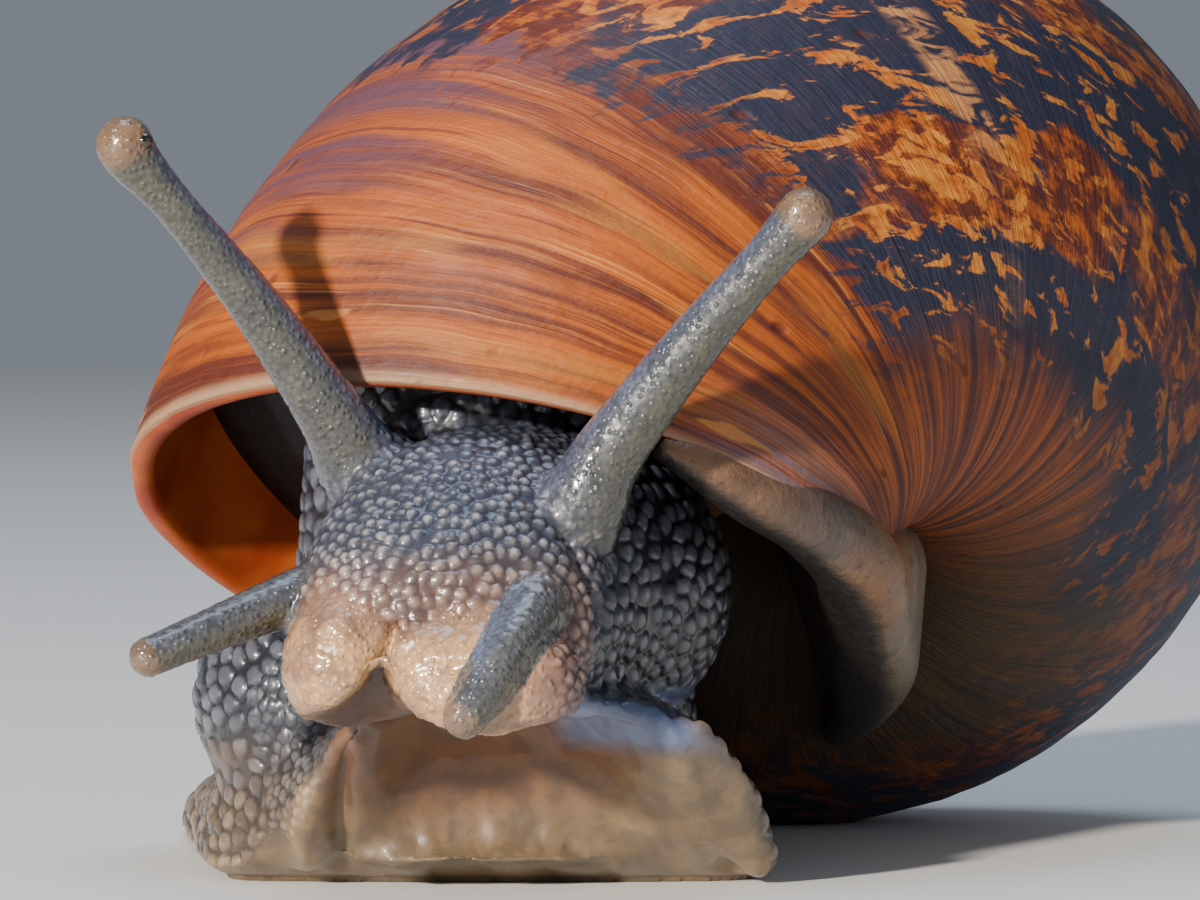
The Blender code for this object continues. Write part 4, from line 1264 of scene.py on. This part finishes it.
# ---------------------------------------------------------------- materials
class Nodes:
    """Adds shader nodes to one tree and links them."""

    def __init__(self, tree):
        self.tree = tree

    def add(self, kind, inputs=None, **settings):
        node = self.tree.nodes.new(kind)
        for name, value in settings.items():
            setattr(node, name, value)
        for key, value in (inputs or {}).items():
            socket = node.inputs[key]
            if isinstance(value, bpy.types.NodeSocket):
                self.tree.links.new(value, socket)
            else:
                socket.default_value = value
        return node

    def math(self, operation, first, second=0.0, clamp=False):
        node = self.add("ShaderNodeMath", {0: first, 1: second}, operation=operation)
        node.use_clamp = clamp
        return node.outputs[0]

    def scaled(self, vector, scale):
        node = self.add("ShaderNodeVectorMath", {0: vector, 1: scale}, operation="MULTIPLY")
        return node.outputs[0]

    def noise(self, vector, scale=1.0, detail=2.0, roughness=0.5, distortion=0.0):
        inputs = {
            "Vector": vector, "Scale": scale, "Detail": detail, "Roughness": roughness,
            "Distortion": distortion,
        }
        return self.add("ShaderNodeTexNoise", inputs).outputs["Fac"]

    def ramp(self, value, low, high, to_low=0.0, to_high=1.0):
        inputs = {
            "Value": value, "From Min": low, "From Max": high, "To Min": to_low,
            "To Max": to_high,
        }
        node = self.add("ShaderNodeMapRange", inputs, interpolation_type="SMOOTHSTEP")
        return node.outputs["Result"]

    def blend(self, share, first, second, kind="MIX"):
        node = self.add("ShaderNodeMix", data_type="RGBA", blend_type=kind)
        for k, value in ((0, share), (6, first), (7, second)):
            socket = node.inputs[k]
            if isinstance(value, bpy.types.NodeSocket):
                self.tree.links.new(value, socket)
            else:
                socket.default_value = value
        return node.outputs[2]

    def attribute(self, name):
        return self.add("ShaderNodeAttribute", attribute_name=name)

    def split(self, vector):
        return self.add("ShaderNodeSeparateXYZ", {0: vector}).outputs

    def spots(self, vector):
        """Distance from the nearest of scattered spots."""
        return self.add("ShaderNodeTexVoronoi", {"Vector": vector, "Scale": 1.0}).outputs["Distance"]

    def place(self, scale):
        """Where the surface lies, in steps of one over scale metres."""
        return self.scaled(self.add("ShaderNodeTexCoord").outputs["Object"], (scale,) * 3)

    def swayed(self, value, noise, width):
        """The value, moved to either side by a noise."""
        shift = self.math("MULTIPLY", self.math("SUBTRACT", noise, 0.5), width)
        return self.math("ADD", value, shift)


def new_group(name, inputs, outputs):
    """A node group with its sockets. Returns it with its inner input and output nodes."""
    group = bpy.data.node_groups.new(name, "ShaderNodeTree")
    for socket, kind, default in inputs:
        made = group.interface.new_socket(socket, in_out="INPUT", socket_type=kind)
        if default is not None:
            made.default_value = default
    for socket, kind in outputs:
        group.interface.new_socket(socket, in_out="OUTPUT", socket_type=kind)
    return group, group.nodes.new("NodeGroupInput"), group.nodes.new("NodeGroupOutput")


def rgba(colour):
    return (*colour, 1.0)


class Whorl:
    """Where a point of the shell lies, and the noises that its colours share."""

    def __init__(self, n, growth):
        self.along, across, self.turn = n.split(growth)
        self.drift = n.noise(n.scaled(growth, (0.10, 0.16, 0.0)), 1.0, 2.0)
        shifted = n.math("ADD", self.along, n.math("MULTIPLY", self.drift, 1.1))
        moved = n.add("ShaderNodeCombineXYZ", {0: shifted, 1: across, 2: 0.0}).outputs[0]
        self.moved = moved
        self.fine = n.noise(n.scaled(moved, (7.0, 0.12, 0.0)), 1.0, 4.0, 0.65)
        self.wide = n.noise(n.scaled(moved, (1.6, 0.06, 0.0)), 1.0, 3.0, 0.6)
        self.flames = n.noise(n.scaled(moved, (0.95, 1.75, 0.0)), 1.0, 4.0, 0.62, 0.7)
        rows = n.noise(n.scaled(moved, (0.75, 0.12, 0.0)), 1.0, 2.0)
        self.flame = n.swayed(self.flames, rows, 0.40)
        self.blots = n.noise(n.scaled(moved, (0.30, 0.26, 0.0)), 1.0, 4.0, 0.6)
        self.mottle = n.noise(n.scaled(moved, (1.5, 1.3, 0.0)), 1.0, 5.0, 0.7)
        # dark bands that run along the spiral
        edge = n.math("ADD", n.swayed(self.turn, self.blots, 0.30), BAND_START)
        wave = n.math("COSINE", n.math("MULTIPLY", edge, TAU / BAND_STEP))
        self.band = n.ramp(wave, -0.45, 0.35)


def young_shell(n, whorl, look):
    """Streaked orange shell, with purple brown streaks towards the suture and violet grey ones by the
    umbilicus, their tints partly a painted sheen.
    """
    along, turn, fine, wide = whorl.along, whorl.turn, whorl.fine, whorl.wide
    young = n.blend(n.ramp(wide, 0.40, 0.62), look["Orange"], look["Brown"])
    young = n.blend(n.math("MULTIPLY", whorl.band, 0.15), young, look["Brown"])
    young = n.blend(n.ramp(fine, 0.56, 0.72, 0.0, 0.7), young, look["Cream"])
    young = n.blend(n.ramp(fine, 0.47, 0.32, 0.0, 0.9), young, look["Brown"])
    tone = n.noise(n.scaled(whorl.moved, (0.55, 0.10, 0.0)), 1.0, 3.0, 0.6)
    young = n.blend(n.ramp(tone, 0.50, 0.64, 0.0, 0.75), young, look["Brown"])
    young = n.blend(n.ramp(tone, 0.46, 0.36, 0.0, 0.35), young, look["Fleck"])
    # painted sheen: purple brown streaks towards the suture
    dusk = n.math("MULTIPLY", n.ramp(turn, -1.05, -0.55), n.ramp(along, -1.5, -5.0))
    dusk = n.math("MULTIPLY", dusk, n.ramp(wide, 0.38, 0.60, 0.25, 0.95))
    young = n.blend(dusk, young, DUSK_SHEEN)
    # painted sheen: violet grey streaks by the umbilicus
    grey = n.math("MULTIPLY", n.ramp(turn, -1.75, -2.1), n.ramp(along, -3.6, -0.6))
    young = n.blend(n.math("MULTIPLY", grey, n.ramp(fine, 0.40, 0.56, 0.15, 0.85)), young, GREY_SHEEN)
    worn = n.noise(n.scaled(whorl.moved, (1.1, 0.33, 0.0)), 1.0, 2.0, 0.5, 0.4)
    worn = n.math("MULTIPLY", n.ramp(worn, 0.64, 0.68), n.ramp(along, -3.2, -0.8))
    return n.blend(n.math("MULTIPLY", worn, 0.75), young, look["Cream"])


def marbled_shell(n, whorl, look):
    """Older shell: dark bands and blots, broken by orange and yellow flecks and one pale ray."""
    along, turn, mottle = whorl.along, whorl.turn, whorl.mottle
    red = n.blend(n.ramp(mottle, 0.46, 0.62), look["Brown"], look["Orange"])
    red = n.blend(n.ramp(mottle, 0.62, 0.74, 0.0, 0.6), red, look["Fleck"])
    shade = n.math("MULTIPLY", whorl.band, 0.85)
    shade = n.math("ADD", shade, n.math("MULTIPLY", whorl.blots, 1.9))
    old = n.blend(n.ramp(shade, 0.88, 1.22, 0.0, 0.97), red, look["Dark"])
    # darker on the whorl's lower side further back, partly painted shade
    dim = n.math("MULTIPLY", n.ramp(along, -15.0, -24.0), n.ramp(turn, -0.7, -1.2, 0.15, 0.55))
    old = n.blend(dim, old, look["Dark"])
    limit = n.math("SUBTRACT", whorl.flame, n.math("MULTIPLY", whorl.band, 0.035))
    ripe = n.blend(n.ramp(mottle, 0.40, 0.60), look["Orange"], look["Fleck"])
    ripe = n.blend(n.ramp(along, -14.0, -27.0, 0.0, 0.7), ripe, look["Brown"])
    old = n.blend(n.ramp(limit, 0.510, 0.565, 0.0, 0.92), old, ripe)
    old = n.blend(n.ramp(whorl.fine, 0.46, 0.30, 0.0, 0.5), old, look["Dark"])
    ray = n.math("ADD", RAY_BACK, n.math("MULTIPLY", whorl.drift, 0.4))
    ray = n.math("ABSOLUTE", n.math("ADD", along, ray))
    ray = n.math("MULTIPLY", n.ramp(ray, 0.60, 0.25), n.ramp(turn, -1.55, -1.20, 0.12, 1.0))
    return n.blend(n.math("MULTIPLY", ray, n.ramp(whorl.flames, 0.40, 0.52)), old, RAY)


def streaked_base(n, whorl, look, old):
    """The marbled shell, changed on the whorl's base, where it is streaked, and darker further back
    towards the bottom, olive brown with painted shade.
    """
    along, turn, fine = whorl.along, whorl.turn, whorl.fine
    base = n.blend(n.ramp(whorl.wide, 0.38, 0.62), look["Orange"], look["Brown"])
    base = n.blend(n.ramp(fine, 0.52, 0.38, 0.0, 0.7), base, look["Dark"])
    # olive brown, deepened by painted shade further back on the base
    deep = n.blend(n.ramp(fine, 0.34, 0.50, 0.25, 1.0), look["Dark"], OLIVE)
    base = n.blend(n.ramp(along, -14.0, -31.0, 0.0, 0.9), base, deep)
    low = n.swayed(turn, whorl.blots, 0.5)
    old = n.blend(n.ramp(low, -1.85, -2.15, 0.0, 0.97), old, base)
    oldest = n.math("MULTIPLY", n.ramp(along, -26.0, -31.0), n.ramp(turn, -1.35, -1.75, 0.0, 0.8))
    return n.blend(oldest, old, deep)


def shell_pattern_group(colours):
    """Colour and height of the shell's surface from where it lies on the spiral."""
    shades = {
        "Orange": colours.shell_orange, "Brown": colours.shell_brown, "Dark": colours.shell_dark,
        "Fleck": colours.shell_fleck, "Cream": colours.shell_cream,
    }
    sockets = [("Growth", "NodeSocketVector", None)]
    sockets += [(name, "NodeSocketColor", rgba(value)) for name, value in shades.items()]
    outputs = [("Color", "NodeSocketColor"), ("Height", "NodeSocketFloat")]
    group, start, end = new_group("Shell pattern", sockets, outputs)
    n = Nodes(group)
    growth = start.outputs["Growth"]
    whorl = Whorl(n, growth)
    look = {name: start.outputs[name] for name in shades}
    old = streaked_base(n, whorl, look, marbled_shell(n, whorl, look))
    mottled = n.ramp(n.swayed(whorl.along, whorl.flame, 9.0), -7.3, -8.6)
    colour = n.blend(mottled, young_shell(n, whorl, look), old)
    colour = n.blend(n.ramp(whorl.along, -0.35, -0.05, 0.0, 0.8), colour, RIM)
    # the apex is worn and paler
    worn = n.ramp(whorl.along, -78.0, -100.0, 0.0, 0.6)
    colour = n.blend(worn, colour, look["Cream"])
    grain = n.noise(n.scaled(growth, (3.2, 2.6, 0.0)), 1.0, 4.0, 0.6)
    pit = n.ramp(n.spots(n.scaled(growth, (0.42, 0.42, 0.0))), 0.10, 0.03)
    height = n.math("ADD", n.math("MULTIPLY", whorl.fine, 0.5), n.math("MULTIPLY", grain, 0.5))
    height = n.math("SUBTRACT", height, n.math("MULTIPLY", pit, 0.6))
    colour = n.blend(n.math("MULTIPLY", pit, 0.7), colour, look["Brown"])
    group.links.new(colour, end.inputs["Color"])
    group.links.new(height, end.inputs["Height"])
    return group


def new_material(name):
    made = bpy.data.materials.new(name)
    made.use_nodes = True
    shader = made.node_tree.nodes["Principled BSDF"]
    return made, Nodes(made.node_tree), shader


def wire(n, shader, **inputs):
    for key, value in inputs.items():
        socket = shader.inputs[key.replace("_", " ")]
        if isinstance(value, bpy.types.NodeSocket):
            n.tree.links.new(value, socket)
        else:
            socket.default_value = value


def bump(n, height, distance, strength=1.0):
    inputs = {"Height": height, "Distance": distance, "Strength": strength}
    return n.add("ShaderNodeBump", inputs).outputs["Normal"]


def shell_material(colours):
    made, n, shader = new_material("Snail shell")
    growth = n.attribute("growth").outputs["Vector"]
    pattern = n.add("ShaderNodeGroup", node_tree=shell_pattern_group(colours))
    n.tree.links.new(growth, pattern.inputs["Growth"])
    inner = n.attribute("inside").outputs["Fac"]
    # painted glow: the hollow's inner wall is bright orange red, as by sun shining through the thin
    # shell
    glow = n.noise(n.place(500), 1.0, 3.0)
    glow_lining = n.blend(n.ramp(glow, 0.3, 0.7), (0.32, 0.036, 0.006, 1), (0.48, 0.10, 0.016, 1))
    colour = n.blend(n.ramp(inner, 0.0, 1.0), pattern.outputs["Color"], glow_lining)
    # painted shade: the wall inside the mouth, marked 2, is near black
    colour = n.blend(n.ramp(inner, 1.0, 2.0), colour, (0.012, 0.008, 0.006, 1))
    rough = n.ramp(pattern.outputs["Height"], 0.2, 0.8, 0.66, 0.46)
    wire(
        n, shader, Base_Color=colour, Roughness=rough, Coat_Weight=0.05, Coat_Roughness=0.3,
        Subsurface_Weight=0.06, Subsurface_Scale=0.0012, Specular_IOR_Level=0.35,
        Normal=bump(n, pattern.outputs["Height"], 0.00016, 0.8),
    )
    shader.inputs["Subsurface Radius"].default_value = (1.0, 0.35, 0.12)
    return made


def lip_material():
    made, n, shader = new_material("Folded lip")
    tint = n.attribute("tint").outputs["Color"]
    grain = n.noise(n.place(2600), 1.0, 4.0, 0.7)
    colour = n.blend(n.ramp(grain, 0.54, 0.74, 0.0, 0.55), tint, (0.95, 0.80, 0.60, 1), "OVERLAY")
    colour = n.blend(n.ramp(grain, 0.44, 0.28, 0.0, 0.75), colour, (0.03, 0.018, 0.010, 1))
    wire(
        n, shader, Base_Color=colour, Roughness=n.ramp(grain, 0.3, 0.7, 0.38, 0.6),
        Coat_Weight=0.2, Coat_Roughness=0.25, Subsurface_Weight=0.08, Subsurface_Scale=0.0006,
        Normal=bump(n, grain, 0.00012, 0.8),
    )
    return made


def skin_material():
    made, n, shader = new_material("Snail skin")
    tint = n.attribute("tint").outputs["Color"]
    wet = n.attribute("wet").outputs["Fac"]
    grain = n.noise(n.place(9000), 1.0, 3.0, 0.6)
    cloud = n.noise(n.place(1300), 1.0, 3.0, 0.6)
    shine = n.ramp(grain, 0.35, 0.75, 0.0, 0.22)
    colour = n.blend(shine, tint, (0.75, 0.72, 0.68, 1), "SOFT_LIGHT")
    colour = n.blend(n.ramp(cloud, 0.62, 0.40, 0.0, 0.35), colour, (0.02, 0.022, 0.03, 1))
    rough = n.math("SUBTRACT", n.ramp(cloud, 0.3, 0.7, 0.36, 0.5), n.math("MULTIPLY", wet, 0.15))
    # drops of slime, on the wet parts only
    drop = n.math("MULTIPLY", n.ramp(n.spots(n.place(6000)), 0.55, 0.0), n.ramp(wet, 0.45, 0.7))
    height = n.math("ADD", n.math("MULTIPLY", grain, 0.25), drop)
    wire(
        n, shader, Base_Color=colour, Roughness=rough, Coat_Roughness=0.07,
        Coat_Weight=n.math("ADD", 0.35, n.math("MULTIPLY", wet, 0.5), True),
        Subsurface_Weight=0.15, Subsurface_Scale=0.0004,
        Normal=bump(n, height, 0.00005, 0.7),
    )
    shader.inputs["Subsurface Radius"].default_value = (1.0, 0.6, 0.4)
    return made


def mantle_material():
    made, n, shader = new_material("Mantle")
    cloud = n.noise(n.place(900), 1.0, 4.0, 0.6)
    # near black: the mantle's dark flesh, darkened further as painted shade inside the mouth
    colour = n.blend(n.ramp(cloud, 0.35, 0.7), (0.0035, 0.003, 0.003, 1), (0.016, 0.012, 0.010, 1))
    wire(
        n, shader, Base_Color=colour, Roughness=n.ramp(cloud, 0.3, 0.7, 0.45, 0.7),
        Coat_Weight=0.12, Coat_Roughness=0.1, Specular_IOR_Level=0.2,
        Normal=bump(n, cloud, 0.0002, 0.9),
    )
    return made


def eye_material():
    made, n, shader = new_material("Eye")
    cloud = n.noise(n.place(4000), 1.0, 2.0)
    colour = n.blend(n.ramp(cloud, 0.4, 0.7), (0.004, 0.004, 0.005, 1), (0.03, 0.02, 0.014, 1))
    wire(n, shader, Base_Color=colour, Roughness=0.12, Coat_Weight=0.8, Coat_Roughness=0.04)
    return made


def floor_material(colours):
    made, n, shader = new_material("Studio floor")
    cloud = n.noise(n.place(60), 1.0, 3.0)
    pale = rgba(colours.floor_pale)
    colour = n.blend(n.ramp(cloud, 0.3, 0.7, 0.0, 0.05), pale, (0.6, 0.6, 0.6, 1))
    wire(n, shader, Base_Color=colour, Roughness=0.75)
    return made


def dress(piece, material):
    piece.data.materials.clear()
    piece.data.materials.append(material)
    piece.data.shade_smooth()


# ---------------------------------------------------------------- operators
def settings():
    return bpy.context.scene.snail_sizes, bpy.context.scene.snail_colours


class SNAIL_OT_shell(bpy.types.Operator):
    """Builds the spiral shell and its hollow"""

    bl_idname = "snail.shell"
    bl_label = "Shell"

    def execute(self, context):
        sizes, colours = settings()
        shell = make_shell(sizes.growth_relief / MM)
        face_out(shell)
        set_points(shell, in_frame(on_floor(points_of(shell), FLAT_SHELL)))
        dress(shell, shell_material(colours))
        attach(shell, "root")
        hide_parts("shell")
        return {"FINISHED"}


class SNAIL_OT_fold(bpy.types.Operator):
    """Builds the columella's folded lip"""

    bl_idname = "snail.fold"
    bl_label = "Folded lip"

    def execute(self, context):
        fold = make_fold(FOLD_VOXEL * MM)
        set_tint(fold, "tint", tint_fold(points_of(fold), normals_of(fold)))
        dress(fold, lip_material())
        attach(fold, "root")
        return {"FINISHED"}


class SNAIL_OT_skin(bpy.types.Operator):
    """Builds one warty skin over head, neck, foot and feelers"""

    bl_idname = "snail.skin"
    bl_label = "Skin"

    def execute(self, context):
        sizes, colours = settings()
        skin = make_body(sizes.skin_voxel)
        lines = feeler_lines()
        points = lift_crumbs(carve_mouth(points_of(skin), normals_of(skin)))
        set_points(skin, points)
        set_points(skin, relaxed(skin, points, front_softness(points), FRONT_ROUNDS))
        points = fold_apron(points_of(skin), normals_of(skin))
        set_points(skin, points)
        normals = normals_of(skin)
        spacing = {
            "head": sizes.wart_head / MM, "body": sizes.wart_body / MM,
            "feeler": sizes.wart_feeler / MM, "height": sizes.wart_height,
        }
        points, dome, tone, along, feelers, lips = make_warts(points, normals, spacing, lines)
        points = on_floor(points, FLAT_SOLE)
        set_points(skin, in_frame(points))
        picked = {
            "grey": colours.skin_grey, "blue": colours.skin_blue, "dark": colours.skin_dark,
            "cream": colours.skin_cream, "olive": colours.skin_olive, "tan": colours.skin_tan,
            "sole": colours.sole_cream,
        }
        tint = tint_skin(points, normals, dome, tone, along, feelers, lips, picked)
        set_tint(skin, "tint", tint)
        set_value(skin, "wet", wetness(points, normals, feelers, lips))
        dress(skin, skin_material())
        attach(skin, "root")
        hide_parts(*FLESH_NODES)
        return {"FINISHED"}


class SNAIL_OT_mantle(bpy.types.Operator):
    """Builds the mantle that closes the whorl"""

    bl_idname = "snail.mantle"
    bl_label = "Mantle"

    def execute(self, context):
        mantle = make_mantle()
        face_out(mantle)
        dress(mantle, mantle_material())
        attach(mantle, "root")
        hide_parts("mantle_collar")
        return {"FINISHED"}


class SNAIL_OT_eyes(bpy.types.Operator):
    """Builds both eyes on the ends of the upper feelers"""

    bl_idname = "snail.eyes"
    bl_label = "Eyes"

    def execute(self, context):
        radius = settings()[0].eye_radius / MM
        material = eye_material()
        for name, centre in EYES.items():
            eye = ball(name + "_ball", centre, (radius,) * 3)
            dress(eye, material)
            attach(eye, "root")
            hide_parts(name)
        return {"FINISHED"}


class SNAIL_OT_stage(bpy.types.Operator):
    """Builds the studio floor, the lights and the camera"""

    bl_idname = "snail.stage"
    bl_label = "Stage"

    def execute(self, context):
        corners = [(FLOOR_HALF * x, FLOOR_HALF * y, 0) for x, y in ((-1, -1), (1, -1), (1, 1), (-1, 1))]
        floor = mesh_piece("studio_floor", corners, [(0, 1, 2, 3)])
        dress(floor, floor_material(settings()[1]))
        for name, place, size, power, tint in LIGHTS:
            light = bpy.data.lights.new(name, "AREA")
            light.shape = "DISK"
            light.size = size
            light.energy = power
            light.color = tint
            lamp = linked(name, light)
            lamp.location = Vector(place)
            aim = Vector(LIGHT_AIM) * MM - lamp.location
            lamp.rotation_euler = aim.to_track_quat("-Z", "Y").to_euler()
        world = bpy.data.worlds.new("Studio")
        world.use_nodes = True
        sky = world.node_tree.nodes["Background"]
        sky.inputs["Color"].default_value = WORLD_COLOUR
        sky.inputs["Strength"].default_value = WORLD_STRENGTH
        bpy.context.scene.world = world
        lens = bpy.data.cameras.new("camera")
        lens.lens = CAMERA_LENS
        lens.sensor_width = CAMERA_SENSOR
        lens.clip_start, lens.clip_end = 0.001, 10.0
        camera = linked("camera", lens)
        back = Vector((0, -math.cos(CAMERA_RISE), math.sin(CAMERA_RISE)))
        camera.location = (Vector(CAMERA_AIM) + back * CAMERA_AWAY) * MM
        camera.rotation_euler = (-back).to_track_quat("-Z", "Y").to_euler()
        bpy.context.scene.camera = camera
        return {"FINISHED"}


class SNAIL_PT_panel(bpy.types.Panel):
    bl_idname = "SNAIL_PT_panel"
    bl_label = "Garden snail"
    bl_space_type = "VIEW_3D"
    bl_region_type = "UI"
    bl_category = "Snail"

    def draw(self, context):
        for group in (context.scene.snail_sizes, context.scene.snail_colours):
            for name in group.bl_rna.properties.keys():
                if name not in ("rna_type", "name"):
                    self.layout.prop(group, name)
        for operator in OPERATORS:
            self.layout.operator(operator.bl_idname)


OPERATORS = (
    SNAIL_OT_shell, SNAIL_OT_fold, SNAIL_OT_skin, SNAIL_OT_mantle, SNAIL_OT_eyes,
    SNAIL_OT_stage,
)
CLASSES = (SnailSizes, SnailColours, *OPERATORS, SNAIL_PT_panel)


def register():
    for each in CLASSES:
        bpy.utils.register_class(each)
    bpy.types.Scene.snail_sizes = bpy.props.PointerProperty(type=SnailSizes)
    bpy.types.Scene.snail_colours = bpy.props.PointerProperty(type=SnailColours)


def unregister():
    del bpy.types.Scene.snail_sizes
    del bpy.types.Scene.snail_colours
    for each in reversed(CLASSES):
        bpy.utils.unregister_class(each)


def main():
    register()
    bpy.ops.snail.shell()
    bpy.ops.snail.fold()
    bpy.ops.snail.skin()
    bpy.ops.snail.mantle()
    bpy.ops.snail.eyes()
    bpy.ops.snail.stage()


if __name__ == "__main__":
    main()
